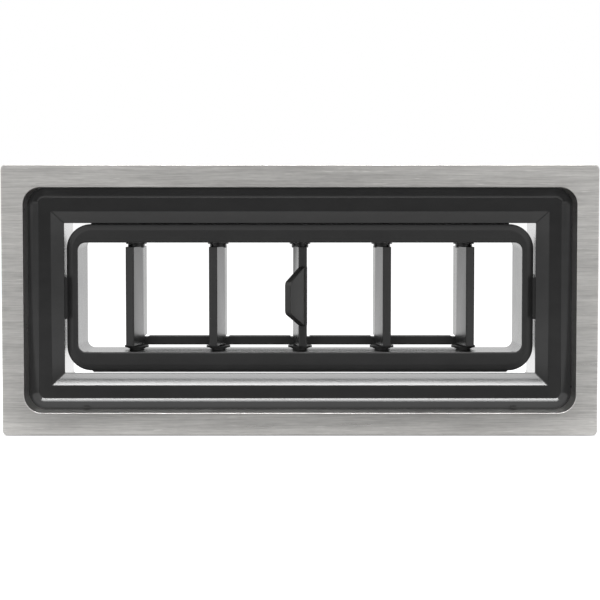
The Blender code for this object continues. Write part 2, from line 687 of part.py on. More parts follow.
def vane_mesh(name, splay_deg, with_tab, parts, cutters):
    """One vane about its pivot: blade, pivot pins, and a crank pin that stays parallel to the others."""
    splay = math.radians(splay_deg)
    blade = plate(name, [blade_outline()], BLADE_TOP_Z - BLADE_BOTTOM_Z, parts)
    middle = Matrix.Translation((0.0, 0.0, (BLADE_TOP_Z + BLADE_BOTTOM_Z) / 2))
    blade.data.transform(middle @ Matrix.Rotation(splay, 4, "Z"))
    blade.data.update()
    notch_z = BAR_TOP_Z + SEAT_GAP

    def notch(shape):
        reach = VANE_REAR_ARM + OVERCUT
        low = (-reach, notch_start(splay), BLADE_BOTTOM_Z - OVERCUT)
        add_box(shape, low, (reach, reach, notch_z))

    def pins(shape):
        embed = PIVOT_PIN_DIAMETER
        tip = (0, 0, BOSS_FACE_Z + PIN_ENGAGEMENT)
        add_cylinder(shape, (0, 0, BLADE_TOP_Z - embed), tip, PIVOT_PIN_DIAMETER)
        foot = (0, 0, -FRAME_Z + SEAT_GAP)
        add_cylinder(shape, foot, (0, 0, BLADE_BOTTOM_Z + embed), PIVOT_PIN_DIAMETER)
        crank_foot = (0, CRANK_ARM, BAR_BOTTOM_Z - SEAT_GAP)
        add_cylinder(shape, crank_foot, (0, CRANK_ARM, notch_z + embed / 2), PIVOT_PIN_DIAMETER)

    def neck(shape):
        start = (0, 0, BLADE_TOP_Z - NECK_HEIGHT)
        add_cylinder(shape, start, (0, 0, BLADE_TOP_Z + NECK_HEIGHT), NECK_DIAMETER)

    def crank_boss(shape):
        top = notch_z + CRANK_BOSS_HEIGHT
        add_cylinder(shape, (0, CRANK_ARM, notch_z), (0, CRANK_ARM, top), CRANK_BOSS_DIAMETER)

    boolean(blade, mesh_object(f"{name}_notch", notch, cutters), "DIFFERENCE")
    boolean(blade, mesh_object(f"{name}_crank_boss", crank_boss, cutters), "UNION")
    boolean(blade, mesh_object(f"{name}_neck", neck, cutters), "UNION")
    boolean(blade, mesh_object(f"{name}_pins", pins, cutters), "UNION")
    if with_tab:
        boolean(blade, add_tab(cutters), "UNION")
    baked = bake(blade)
    mesh = baked.data
    bpy.data.objects.remove(baked, do_unlink=True)
    return mesh


def build_vanes(parts, cutters, material, tilt):
    """The vanes at their pivots; the outer ones splay away from the middle one."""
    middle = VANE_COUNT // 2
    left = vane_mesh("vane_left", -VANE_SPLAY_DEG, False, parts, cutters)
    centre = vane_mesh("vane_centre", CENTRE_SPLAY_DEG, True, parts, cutters)
    right = vane_mesh("vane_right", VANE_SPLAY_DEG, False, parts, cutters)
    vanes = []
    for index, x in enumerate(vane_xs()):
        mesh = centre if index == middle else left if index < middle else right
        vane = bpy.data.objects.new(f"vane_{index + 1}", mesh)
        parts.objects.link(vane)
        vane.parent = tilt
        vane.location = (x, PIVOT_Y - TILT_Y, 0.0)
        finish(vane, material)
        vanes.append(vane)
    return vanes


def build_bushes(parts, material, tilt):
    """Flanged bushes in the frame's floor, one round each vane's lower pin."""
    flange, neck, shank = BUSH_FLANGE_DIAMETER / 2, BUSH_NECK_DIAMETER / 2, BUSH_SHANK_DIAMETER / 2
    flange_bottom = BUSH_TOP_Z - BUSH_FLANGE_THICKNESS
    foot = -FRAME_Z + SEAT_GAP
    profile = [
        (PIN_BORE_RADIUS, BUSH_TOP_Z),
        (flange, BUSH_TOP_Z),
        (flange, flange_bottom),
        (neck, flange_bottom),
        (neck, SHOULDER_Z),
        (shank, SHOULDER_Z),
        (shank, foot),
        (PIN_BORE_RADIUS, foot),
    ]
    for number, x in enumerate(vane_xs(), start=1):
        bush = turned(f"vane_bush_{number}", profile, (0, 0, 1), parts)
        bush.parent = tilt
        bush.location = (x, PIVOT_Y - TILT_Y, 0.0)
        finish(bush, material)


def bar_outline():
    """The link bar from the front, its top edge set down at each vane."""
    end = vane_xs()[-1] + BAR_END
    seat_z = BAR_TOP_Z - BAR_SEAT_DROP
    outline = [(-end, BAR_BOTTOM_Z), (end, BAR_BOTTOM_Z)]
    top = []
    for x in vane_xs():
        low_x, high_x = x - BAR_SEAT_WIDTH / 2, x + BAR_SEAT_WIDTH / 2
        top += [(low_x - BAR_SEAT_DROP, BAR_TOP_Z), (low_x, seat_z), (high_x, seat_z)]
        top.append((high_x + BAR_SEAT_DROP, BAR_TOP_Z))
    inside = [point for point in top if abs(point[0]) < end - BAR_SEAT_DROP]
    ends = [(-end, seat_z), *inside, (end, seat_z)]
    return outline + ends[::-1]


def build_bar(parts, cutters, material, carrier):
    """The bar that links the vanes' crank pins, hung on the middle vane's pin."""
    bar = plate("link_bar", [bar_outline()], BAR_DEPTH, parts)
    stand_upright(bar, 0.0)

    def drill(shape):
        for x in vane_xs():
            bottom = (x, 0.0, BAR_BOTTOM_Z - OVERCUT)
            add_cylinder(shape, bottom, (x, 0.0, BAR_TOP_Z + OVERCUT), 2 * PIN_BORE_RADIUS)

    tool = mesh_object("bar_holes", drill, cutters)
    boolean(bar, tool, "DIFFERENCE")
    bar = bake(bar)
    bar.parent = carrier
    bar.location = (0.0, CRANK_ARM, 0.0)
    finish(bar, material)


def build_tilt_pivots(parts, washer_material, pin_material):
    """A headed pin through each side wall into the frame, and the washer between them."""
    bore = PIVOT_DIAMETER / 2 + RUNNING_GAP
    washer_profile = [
        (bore, WASHER_OUTER_X),
        (WASHER_DIAMETER / 2, WASHER_OUTER_X),
        (WASHER_DIAMETER / 2, WASHER_INNER_X),
        (bore, WASHER_INNER_X),
    ]
    head_x = PIVOT_HEAD_X + PIVOT_HEAD_THICKNESS
    pin_profile = [
        (0.0, head_x),
        (PIVOT_HEAD_DIAMETER / 2 - EDGE_CHAMFER, head_x),
        (PIVOT_HEAD_DIAMETER / 2, head_x - EDGE_CHAMFER),
        (PIVOT_HEAD_DIAMETER / 2, PIVOT_HEAD_X),
        (PIVOT_DIAMETER / 2, PIVOT_HEAD_X),
        (PIVOT_DIAMETER / 2, PIVOT_TIP_X + EDGE_CHAMFER),
        (PIVOT_DIAMETER / 2 - EDGE_CHAMFER, PIVOT_TIP_X),
        (0.0, PIVOT_TIP_X),
    ]
    for side, word in ((-1, "left"), (1, "right")):
        washer = turned(f"friction_washer_{word}", washer_profile, (side, 0, 0), parts)
        washer.location = (0.0, TILT_Y, 0.0)
        finish(washer, washer_material)
        pin = turned(f"tilt_pin_{word}", pin_profile, (side, 0, 0), parts)
        pin.location = (0.0, TILT_Y, 0.0)
        finish(pin, pin_material)


def main():
    """Build the whole vent."""
    clear_scene()
    parts = new_collection("louver_vent")
    cutters = new_collection("cutters")
    aluminium = new_material("brushed_aluminium", (0.58, 0.58, 0.56), 0.34, 1.0)
    black = new_material("black_plastic", (0.012, 0.012, 0.013), 0.28, 0.0)
    nylon = new_material("black_nylon", (0.02, 0.02, 0.02), 0.45, 0.0)
    steel = new_material("spring_steel", (0.42, 0.42, 0.44), 0.3, 1.0)
    tilt = bpy.data.objects.new("tilt_axis", None)
    parts.objects.link(tilt)
    tilt.location = (0.0, TILT_Y, 0.0)

    build_bezel(parts, cutters, aluminium)
    build_housing(parts, cutters, black)
    build_screws(parts, steel)
    build_clips(parts, cutters, steel)
    build_frame(parts, cutters, black, tilt)
    vanes = build_vanes(parts, cutters, black, tilt)
    build_bushes(parts, nylon, tilt)
    build_bar(parts, cutters, black, vanes[VANE_COUNT // 2])
    build_tilt_pivots(parts, nylon, steel)


main()
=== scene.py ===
"""The looks of a dashboard louver vent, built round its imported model.

A brushed metal bezel frames a gloss black housing. A frame tilts up and down in the housing's throat and
carries linked upright vanes, the middle one with a thumb tab. Lengths are metres, +Z is up and the face
looks along -Y.
"""

import json
import logging
import math
from collections.abc import Callable, Sequence
from dataclasses import dataclass, field, replace
from enum import Enum

import bmesh
import bpy
from bmesh.types import BMEdge, BMVert
from mathutils import Matrix, Vector


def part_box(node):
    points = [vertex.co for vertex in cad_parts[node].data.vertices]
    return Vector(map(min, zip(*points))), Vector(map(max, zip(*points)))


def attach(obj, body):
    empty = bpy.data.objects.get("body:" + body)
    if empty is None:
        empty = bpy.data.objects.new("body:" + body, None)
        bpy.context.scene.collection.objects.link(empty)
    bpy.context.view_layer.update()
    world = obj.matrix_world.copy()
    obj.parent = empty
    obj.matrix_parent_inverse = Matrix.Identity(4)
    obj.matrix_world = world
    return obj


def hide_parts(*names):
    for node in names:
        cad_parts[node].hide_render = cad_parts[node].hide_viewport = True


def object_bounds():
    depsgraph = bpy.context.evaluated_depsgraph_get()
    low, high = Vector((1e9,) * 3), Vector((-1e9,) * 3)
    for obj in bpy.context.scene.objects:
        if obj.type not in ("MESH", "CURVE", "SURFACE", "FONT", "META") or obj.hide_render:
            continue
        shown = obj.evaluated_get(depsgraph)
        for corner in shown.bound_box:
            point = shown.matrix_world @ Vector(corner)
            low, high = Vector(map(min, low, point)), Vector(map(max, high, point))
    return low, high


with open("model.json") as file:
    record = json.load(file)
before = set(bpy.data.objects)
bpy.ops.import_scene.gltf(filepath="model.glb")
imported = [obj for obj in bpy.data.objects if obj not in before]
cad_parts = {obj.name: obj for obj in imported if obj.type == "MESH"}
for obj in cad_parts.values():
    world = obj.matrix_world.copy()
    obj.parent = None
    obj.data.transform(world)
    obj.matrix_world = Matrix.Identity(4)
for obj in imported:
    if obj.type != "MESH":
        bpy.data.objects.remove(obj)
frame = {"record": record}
cad_low, cad_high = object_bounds()

log = logging.getLogger("louver_vent")

SEAT_GAP = 0.0003  # between pieces that fit in each other
OVERRUN = 0.001  # how far a tool reaches past the face that it cuts
STAGGER = 0.01  # between rings while they are bridged
MERGE_DISTANCE = 1e-7
SMOOTH_DEG = 35.0  # edges that turn by less are shaded smooth
CREASE_DEG = 60.0  # edges that turn by more are rounded
FILLET_STEPS = 3
FILLET_WIDTH = 0.00018  # faces narrower than this belong to a fillet
FLAT_SHARE = 4  # a flat is more than this many times wider than the fillet beside it
CORNER_SIGNS = ((1, 1), (-1, 1), (-1, -1), (1, -1))
VANE_SPLAYS_DEG = (-6.9, -6.9, 5.0, 6.9, 6.9)
TAB_VANE = 3

Point2 = tuple[float, float]
Triple = tuple[float, float, float]


class Body(Enum):
    """The rigid bodies that pieces ride on."""

    HOUSING = "vent_body"
    TILT = "tilt_body"
    LINK = "link"


class Slot(Enum):
    """The record's material slots."""

    ALUMINIUM = "brushed_aluminium"
    PLASTIC = "black_plastic"
    NYLON = "black_nylon"
    STEEL = "spring_steel"


class Cut(Enum):
    """What a tool does to the piece that it meets."""

    AWAY = "DIFFERENCE"
    JOIN = "UNION"


def joint_position(name: str) -> Vector:
    """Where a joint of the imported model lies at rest."""
    joints = frame["record"]["behaviour"]["joints"]
    return next(Vector(joint["pos_m"]) for joint in joints if joint["name"] == name)


def vane_pivot(number: int) -> Vector:
    """Where a vane's upright pivot crosses the level of the tilt axis."""
    return joint_position(f"vane_{number}_yaw")


def add_object(name: str, data: bpy.types.ID) -> bpy.types.Object:
    """Put a mesh, a lamp or a camera in the scene.

    Args:
        name: the object's name.
        data: what the object shows.

    Returns:
        The new object.
    """
    made = bpy.data.objects.new(name, data)
    bpy.context.scene.collection.objects.link(made)
    return made


class Signal:
    """A shader socket that takes part in arithmetic."""

    def __init__(self, graph: "Graph", socket: bpy.types.NodeSocket) -> None:
        """Wrap a socket of a graph."""
        self.graph = graph
        self.socket = socket

    def __add__(self, other: "Signal | float") -> "Signal":
        """Add a signal or a number."""
        return self.graph.math("ADD", self, other)

    def __radd__(self, other: float) -> "Signal":
        """Add to a number."""
        return self.graph.math("ADD", other, self)

    def __sub__(self, other: "Signal | float") -> "Signal":
        """Take away a signal or a number."""
        return self.graph.math("SUBTRACT", self, other)

    def __rsub__(self, other: float) -> "Signal":
        """Take from a number."""
        return self.graph.math("SUBTRACT", other, self)

    def __mul__(self, other: "Signal | float") -> "Signal":
        """Multiply by a signal or a number."""
        return self.graph.math("MULTIPLY", self, other)

    def __rmul__(self, other: float) -> "Signal":
        """Multiply a number."""
        return self.graph.math("MULTIPLY", other, self)

    def __abs__(self) -> "Signal":
        """Drop the sign."""
        return self.graph.math("ABSOLUTE", self, 0.0)


class Graph:
    """The node tree of one material or of the world."""

    def __init__(self, tree: bpy.types.NodeTree) -> None:
        """Work on a node tree."""
        self.tree = tree

    def node(
        self,
        kind: str,
        settings: dict[str, object] | None = None,
        sockets: dict[str | int, object] | None = None,
        output: str | int | None = 0,
    ) -> Signal | None:
        """Add a node, set it up and feed its sockets.

        Args:
            kind: the node's type, without its ShaderNode prefix.
            settings: the node's own properties, set first.
            sockets: a value or a signal for each input, by name or index.
            output: the output to return, by name or index, or None for a node without one.

        Returns:
            The chosen output.
        """
        made = self.tree.nodes.new(f"ShaderNode{kind}")
        for name, value in (settings or {}).items():
            setattr(made, name, value)
        for key, value in (sockets or {}).items():
            self.feed(made.inputs[key], value)
        return None if output is None else Signal(self, made.outputs[output])

    def feed(self, socket: bpy.types.NodeSocket, value: object) -> None:
        """Link a signal to a socket, or set the socket's own value.

        Args:
            socket: the input to feed.
            value: a signal, or a plain value.
        """
        if isinstance(value, Signal):
            self.tree.links.new(value.socket, socket)
        else:
            socket.default_value = value

    def math(self, operation: str, left: "Signal | float", right: "Signal | float") -> Signal:
        """Combine two values with a Math node."""
        return self.node("Math", {"operation": operation}, {0: left, 1: right})

    def span(
        self, value: Signal, low: float, high: float, to_low: float = 0.0, to_high: float = 1.0
    ) -> Signal:
        """Map a signal's range smoothly onto another range."""
        sockets = {"Value": value, "From Min": low, "From Max": high, "To Min": to_low, "To Max": to_high}
        return self.node("MapRange", {"interpolation_type": "SMOOTHSTEP"}, sockets)

    def mix(self, factor: Signal, first: Sequence[float], second: Sequence[float]) -> Signal:
        """Blend two colours by a factor."""
        sockets = {0: factor, 6: (*first, 1.0), 7: (*second, 1.0)}
        return self.node("Mix", {"data_type": "RGBA"}, sockets, 2)

    def place(self, output: str) -> Signal:
        """The surface's coordinates, or the world's directions."""
        return self.node("TexCoord", output=output)

    def axis(self, vector: Signal, name: str) -> Signal:
        """One coordinate of a vector."""
        return self.node("SeparateXYZ", sockets={0: vector}, output=name)

    def noise(self, per_metre: Sequence[float], detail: float = 2.0, roughness: float = 0.5) -> Signal:
        """Noise on the piece's own coordinates, with its fineness given along each axis.

        Args:
            per_metre: how many cells of noise lie in a metre along X, Y and Z.
            detail: how many octaves are added.
            roughness: how strong the finer octaves are.

        Returns:
            The noise, from 0 to 1.
        """
        mapping = {"Vector": self.place("Object"), "Scale": tuple(per_metre)}
        stretched = self.node("Mapping", sockets=mapping)
        sockets = {"Vector": stretched, "Scale": 1.0, "Detail": detail, "Roughness": roughness}
        return self.node("TexNoise", sockets=sockets)

    def bump(self, height: Signal, depth: float, under: Signal | None = None) -> Signal:
        """Raise the surface by a signal whose full range is depth metres, over another bump or none."""
        sockets = {"Height": height, "Distance": depth} | ({"Normal": under} if under else {})
        return self.node("Bump", sockets=sockets)


@dataclass(frozen=True)
class Finish:
    """A surface with one colour, roughness and metallic value; its kinds add what varies.

    Attributes:
        name: the material's name.
        colour: the base colour, linear.
        roughness: the mean roughness.
        metallic: 1 for bare metal, 0 for plastic.
    """

    name: str
    colour: Triple
    roughness: float
    metallic: float = 0.0

    def make(self) -> bpy.types.Material:
        """Build the material.

        Returns:
            The finished material.
        """
        material = bpy.data.materials.new(self.name)
        material.use_nodes = True
        shader = material.node_tree.nodes["Principled BSDF"]
        shader.inputs["Base Color"].default_value = (*self.colour, 1.0)
        shader.inputs["Roughness"].default_value = self.roughness
        shader.inputs["Metallic"].default_value = self.metallic
        graph = Graph(material.node_tree)
        for socket, signal in self.texture(graph).items():
            graph.feed(shader.inputs[socket], signal)
        return material

    def texture(self, graph: Graph) -> dict[str, Signal]:
        """What varies over the surface, by the shader's socket; nothing on a plain finish."""
        return {}

    def shade(self, factor: float) -> Triple:
        """The finish's colour made lighter or darker by a factor."""
        return tuple(channel * factor for channel in self.colour)


@dataclass(frozen=True)
class BrushedMetal(Finish):
    """Metal brushed along X, with fine lines, broader bands and a few deeper scratches."""

    line_width: float = 0.0003
    line_length: float = 0.009
    contrast: float = 0.24
    depth: float = 0.000012
    cloud_per_metre: Triple = (18.0, 18.0, 60.0)
    speckle_per_metre: Triple = (500.0, 900.0, 1800.0)
    scratch_range: Point2 = (0.68, 0.8)
    tone_range: Point2 = (0.3, 0.85)

    def texture(self, graph: Graph) -> dict[str, Signal]:
        """The brushing in colour, roughness and height.

        Args:
            graph: the material's node tree.

        Returns:
            The signal for each of the shader's sockets.
        """
        along, across = 1 / self.line_length, 1 / self.line_width
        fine = graph.noise((along, across / 4, across), 3.0, 0.7)
        bands = graph.noise((along / 3, across / 8, across / 6))
        cloud = graph.noise(self.cloud_per_metre)
        scratches = graph.span(graph.noise((along * 2, across / 3, across / 2), 1.0), *self.scratch_range)
        speckle = graph.noise(self.speckle_per_metre, roughness=0.6)
        tone = fine * 0.6 + bands * 0.25 + cloud * 0.15 + speckle * 0.15 + scratches * 0.15
        low, high = self.shade(1 - self.contrast), self.shade(1 + self.contrast)
        return {
            "Base Color": graph.mix(graph.span(tone, *self.tone_range), low, high),
            "Roughness": self.roughness - 0.06 + bands * 0.12,
            "Normal": graph.bump(fine - scratches * 0.6, self.depth),
        }


@dataclass(frozen=True)
class MouldedPlastic(Finish):
    """Moulded plastic with a faint ripple and a bloom that varies."""

    ripple: float = 0.000015
    ripple_per_metre: Triple = (38.0, 90.0, 120.0)
    grain: float = 0.000002
    grain_per_metre: Triple = (3500.0, 3500.0, 3500.0)
    bloom_per_metre: Triple = (70.0, 160.0, 160.0)

    def texture(self, graph: Graph) -> dict[str, Signal]:
        """The ripple, the grain and the bloom.

        Args:
            graph: the material's node tree.

        Returns:
            The signal for each of the shader's sockets.
        """
        grain = graph.bump(graph.noise(self.grain_per_metre, roughness=0.6), self.grain)
        bloom = graph.noise(self.bloom_per_metre, 3.0, 0.6)
        return {
            "Base Color": graph.mix(bloom, self.shade(0.8), self.shade(1.25)),
            "Roughness": self.roughness - 0.025 + bloom * 0.05,
            "Normal": graph.bump(graph.noise(self.ripple_per_metre), self.ripple, grain),
        }


@dataclass(frozen=True)
class RolledSteel(Finish):
    """Bright cold rolled or plated steel with rolling lines and a faint stain."""

    stain: Triple = (0.46, 0.43, 0.38)
    stain_per_metre: Triple = (160.0, 160.0, 160.0)
    line_depth: float = 0.000003
    line_per_metre: Triple = (5000.0, 120.0, 5000.0)

    def texture(self, graph: Graph) -> dict[str, Signal]:
        """The rolling lines and the stain.

        Args:
            graph: the material's node tree.

        Returns:
            The signal for each of the shader's sockets.
        """
        lines = graph.noise(self.line_per_metre, roughness=0.6)
        drift = graph.span(graph.noise(self.stain_per_metre, 3.0), 0.5, 0.8, 0.0, 0.5)
        return {
            "Base Color": graph.mix(drift, self.colour, self.stain),
            "Roughness": self.roughness - 0.05 + lines * 0.1,
            "Normal": graph.bump(lines, self.line_depth),
        }


@dataclass(frozen=True)
class Ring:
    """A rectangle with round corners, standing across the Y axis and centred on it.

    Attributes:
        half_x: half its width.
        half_z: half its height.
        corner: the radius of its corners.
        y: where it stands.
        fillet: the radius that the edge along it is rounded to.
    """

    half_x: float
    half_z: float
    corner: float
    y: float
    fillet: float = 0.0

    def grown(self, by: float) -> "Ring":
        """The ring offset outwards."""
        return replace(self, half_x=self.half_x + by, half_z=self.half_z + by, corner=self.corner + by)

    def at(self, y: float, fillet: float | None = None) -> "Ring":
        """The ring moved along Y, with its own fillet or another one."""
        return replace(self, y=y, fillet=self.fillet if fillet is None else fillet)

    def inset(self, by_x: float, by_z: float, corner: float, y: float, fillet: float = 0.0) -> "Ring":
        """A smaller ring at another place, with its own corners."""
        return Ring(self.half_x - by_x, self.half_z - by_z, corner, y, fillet)


class Form:
    """A closed solid under way, shaped by bmesh operators."""

    def __init__(self) -> None:
        """Start with an empty mesh."""
        self.mesh = bmesh.new()

    def wire(self, ring: Ring, steps: int) -> list[BMEdge]:
        """Add a ring as a closed wire.

        Args:
            ring: the rectangle to draw.
            steps: how many edges each corner has.

        Returns:
            The wire's edges.
        """
        before = set(self.mesh.faces)
        made = bmesh.ops.create_grid(self.mesh, x_segments=1, y_segments=1, size=1.0)
        size = Matrix.Diagonal((ring.half_x, ring.half_z, 1.0, 1.0))
        place = Matrix.Translation((0.0, ring.y, 0.0)) @ Matrix.Rotation(math.pi / 2, 4, "X") @ size
        bmesh.ops.transform(self.mesh, matrix=place, verts=made["verts"])
        self.bevel(made["verts"], ring.corner, steps, "VERTICES")
        panel = next(face for face in self.mesh.faces if face not in before)
        edges = list(panel.edges)
        bmesh.ops.delete(self.mesh, geom=[panel], context="FACES_ONLY")
        return edges

    def skin(self, rings: Sequence[Ring], corner_steps: int = 12) -> "Form":
        """Bridge rings into a closed frame and round the edges that have a fillet.

        Bridging can twist rings that lie in one plane, so they are drawn apart and moved together after.

        Args:
            rings: the frame's section, corner by corner, in order all the way round.
            corner_steps: how many edges each corner of a ring has.

        Returns:
            This form.
        """
        wires = [self.wire(ring.at(index * STAGGER), corner_steps) for index, ring in enumerate(rings)]
        for near, far in zip(wires, wires[1:] + wires[:1]):
            bmesh.ops.bridge_loops(self.mesh, edges=[*near, *far])
        for index, (ring, edges) in enumerate(zip(rings, wires)):
            corners = list({corner for edge in edges for corner in edge.verts})
            bmesh.ops.translate(self.mesh, verts=corners, vec=(0.0, ring.y - index * STAGGER, 0.0))
        for ring, edges in zip(rings, wires):
            if ring.fillet:
                self.bevel(edges, ring.fillet, FILLET_STEPS)
        return self.closed()

    def closed(self) -> "Form":
        """Turn every face outwards."""
        bmesh.ops.recalc_face_normals(self.mesh, faces=self.mesh.faces)
        return self

    def bevel(
        self, geometry: Sequence[BMEdge | BMVert], radius: float, steps: int = 2, affect: str = "EDGES"
    ) -> None:
        """Round edges, or the corners of a flat face.

        Args:
            geometry: the edges or the corners.
            radius: the radius of the rounding.
            steps: how many faces or edges it has.
            affect: EDGES or VERTICES.
        """
        bmesh.ops.bevel(
            self.mesh, geom=list(geometry), offset=radius, offset_type="OFFSET", segments=steps, profile=0.5,
            affect=affect, loop_slide=True, material=-1,
        )

    def rod(
        self,
        start: Sequence[float],
        end: Sequence[float],
        diameter: float,
        end_diameter: float | None = None,
        segments: int = 40,
    ) -> "Form":
        """Add a capped cylinder or cone between two points.

        Args:
            start: the centre of its first cap.
            end: the centre of its last cap.
            diameter: its diameter at the start.
            end_diameter: its diameter at the end, where that differs.
            segments: how many sides it has.

        Returns:
            This form.
        """
        start, end = Vector(start), Vector(end)
        span = end - start
        turn = span.to_track_quat("Z", "Y").to_matrix().to_4x4()
        last = diameter if end_diameter is None else end_diameter
        bmesh.ops.create_cone(
            self.mesh, cap_ends=True, segments=segments, radius1=diameter / 2, radius2=last / 2,
            depth=span.length, matrix=Matrix.Translation((start + end) / 2) @ turn,
        )
        return self

    def post(self, x: float, y: float, low: float, high: float, diameter: float) -> "Form":
        """Add an upright rod between two heights."""
        return self.rod((x, y, low), (x, y, high), diameter)

    def block(self, low: Sequence[float], high: Sequence[float]) -> "Form":
        """Add a box between two corners.

        Args:
            low: the lowest corner.
            high: the highest corner.

        Returns:
            This form.
        """
        low, high = Vector(low), Vector(high)
        size = Matrix.Diagonal((*(high - low), 1.0))
        bmesh.ops.create_cube(self.mesh, size=1.0, matrix=Matrix.Translation((low + high) / 2) @ size)
        return self

    def slab(self, outline: Sequence[Sequence[float]], low: float, high: float) -> "Form":
        """Extrude an outline in XY from one height to another.

        Args:
            outline: the corners, as x and y.
            low: the height of the lower face.
            high: the height of the upper face.

        Returns:
            This form.
        """
        corners = [self.mesh.verts.new((x, y, low)) for x, y in outline]
        base = self.mesh.faces.new(corners)
        raised = bmesh.ops.extrude_face_region(self.mesh, geom=[base])["geom"]
        tops = [item for item in raised if isinstance(item, BMVert)]
        bmesh.ops.translate(self.mesh, verts=tops, vec=(0.0, 0.0, high - low))
        if base not in self.mesh.faces:
            self.mesh.faces.new(corners)
        return self.closed()

    def turned(self, profile: Sequence[Point2], loop: bool = False, steps: int = 40) -> "Form":
        """Spin a profile about Z.

        Args:
            profile: points as radius and height.
            loop: whether the profile is a loop that keeps clear of the axis.
            steps: how many sides the turned shape has.

        Returns:
            This form.
        """
        points = [self.mesh.verts.new((radius, 0.0, height)) for radius, height in profile]
        pairs = list(zip(points, points[1:])) + ([(points[-1], points[0])] if loop else [])
        edges = [self.mesh.edges.new(pair) for pair in pairs]
        bmesh.ops.spin(
            self.mesh, geom=[*points, *edges], cent=(0.0, 0.0, 0.0), axis=(0.0, 0.0, 1.0), angle=2 * math.pi,
            steps=steps, use_merge=True,
        )
        bmesh.ops.remove_doubles(self.mesh, verts=self.mesh.verts, dist=MERGE_DISTANCE)
        return self.closed()

    def moved(self, matrix: Matrix) -> "Form":
        """Move everything by a matrix."""
        bmesh.ops.transform(self.mesh, matrix=matrix, verts=self.mesh.verts)
        return self

    def edges_where(self, test: Callable[[BMEdge], bool]) -> list[BMEdge]:
        """The edges that pass a test."""
        return [edge for edge in self.mesh.edges if test(edge)]

    def soften(self, radius: float, steps: int = 2) -> None:
        """Round every edge whose faces turn sharply.

        Args:
            radius: the radius of the rounding.
            steps: how many faces it has.
        """
        limit = math.radians(CREASE_DEG)
        sharp = self.edges_where(lambda edge: edge.is_manifold and edge.calc_face_angle(0.0) > limit)
        self.bevel(sharp, radius, steps)

    def piece(self, name: str) -> bpy.types.Object:
        """Make the form an object at the origin of the scene.

        Args:
            name: the object's name.

        Returns:
            The new object.
        """
        mesh = bpy.data.meshes.new(name)
        self.mesh.to_mesh(mesh)
        self.mesh.free()
        return add_object(name, mesh)


def carve(piece: bpy.types.Object, tool: Form, cut: Cut = Cut.AWAY) -> None:
    """Cut a piece with a form, or join the form to it, and keep the result as its mesh.

    Args:
        piece: the object to change.
        tool: the form that cuts or joins.
        cut: which of the two it does.
    """
    other = tool.piece(f"{piece.name}_tool")
    modifier = piece.modifiers.new("carve", "BOOLEAN")
    modifier.operation = cut.value
    modifier.object = other
    modifier.solver = "EXACT"
    bpy.context.view_layer.update()
    result = bpy.data.meshes.new_from_object(piece.evaluated_get(bpy.context.evaluated_depsgraph_get()))
    piece.modifiers.clear()
    old, spare = piece.data, other.data
    piece.data = result
    result.name = piece.name
    bpy.data.objects.remove(other, do_unlink=True)
    bpy.data.meshes.remove(old)
    bpy.data.meshes.remove(spare)


def edge_break(piece: bpy.types.Object, width: float) -> None:
    """Round a piece's sharp edges by a small Bevel modifier.

    Args:
        piece: the object to finish.
        width: the width of the rounding.
    """
    modifier = piece.modifiers.new("edge break", "BEVEL")
    modifier.width = width
    modifier.segments = 2
    modifier.limit_method = "ANGLE"
    modifier.angle_limit = math.radians(CREASE_DEG)
    modifier.harden_normals = True


def keep_flats(mesh: bpy.types.Mesh) -> None:
    """Mark the edges where a narrow fillet meets a wide face, so that the face is shaded flat.

    Args:
        mesh: the mesh to mark, smooth shaded.
    """
    solid = bmesh.new()
    solid.from_mesh(mesh)
    for edge in solid.edges:
        if len(edge.link_faces) == 2 and edge.calc_length() > 0:
            narrow, wide = sorted(face.calc_area() / edge.calc_length() for face in edge.link_faces)
            if narrow < FILLET_WIDTH and wide > FLAT_SHARE * narrow:
                edge.smooth = False
    solid.to_mesh(mesh)
    solid.free()


@dataclass(frozen=True)
class Coat:
    """A finish as a material, with the record's slot that it takes."""

    material: bpy.types.Material
    slot: Slot

    def dress(self, piece: bpy.types.Object, body: str, node: str) -> None:
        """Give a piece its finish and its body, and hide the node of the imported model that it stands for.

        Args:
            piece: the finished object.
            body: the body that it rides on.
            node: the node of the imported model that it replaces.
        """
        piece.data.materials.clear()
        piece.data.materials.append(self.material)
        piece.data.shade_smooth()
        piece.data.set_sharp_from_angle(angle=math.radians(SMOOTH_DEG))
        keep_flats(piece.data)
        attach(piece, body)
        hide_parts(node)
        log.info("%s rides on %s with %d faces", piece.name, body, len(piece.data.polygons))


class Coats:
    """Every finish of the vent, made once."""

    def __init__(self) -> None:
        """Build the materials."""
        bezel = BrushedMetal("brushed aluminium", (0.585, 0.575, 0.557), 0.3, 1.0)
        gloss = MouldedPlastic("gloss black plastic", (0.024, 0.024, 0.0243), 0.11)
        satin = MouldedPlastic("satin black plastic", (0.025, 0.025, 0.0252), 0.26)
        grip = MouldedPlastic("matt black plastic", (0.021, 0.0207, 0.020), 0.5, ripple=0.0)
        # The nylon colour is lighter than the other black plastics partly as painted light, lifting the link
        # bar and the bushes out of their shade.
        nylon = MouldedPlastic("matt black nylon lightened against shade", (0.038, 0.038, 0.038), 0.45, ripple=0.0)
        steel = RolledSteel("rolled spring steel", (0.52, 0.52, 0.53), 0.3, 1.0)
        plated = RolledSteel("plated steel", (0.60, 0.61, 0.63), 0.26, 1.0, stain=(0.6, 0.56, 0.42))
        self.bezel = Coat(bezel.make(), Slot.ALUMINIUM)
        self.gloss = Coat(gloss.make(), Slot.PLASTIC)
        self.satin = Coat(satin.make(), Slot.PLASTIC)
        self.grip = Coat(grip.make(), Slot.PLASTIC)
        shade_lifting_nylon_material = nylon.make()
        self.nylon = Coat(shade_lifting_nylon_material, Slot.NYLON)
        # The link bar is black plastic given the lighter nylon colour, painted light against the shade behind
        # the frame.
        self.bar = Coat(shade_lifting_nylon_material, Slot.PLASTIC)
        self.steel = Coat(steel.make(), Slot.STEEL)
        self.plated = Coat(plated.make(), Slot.STEEL)


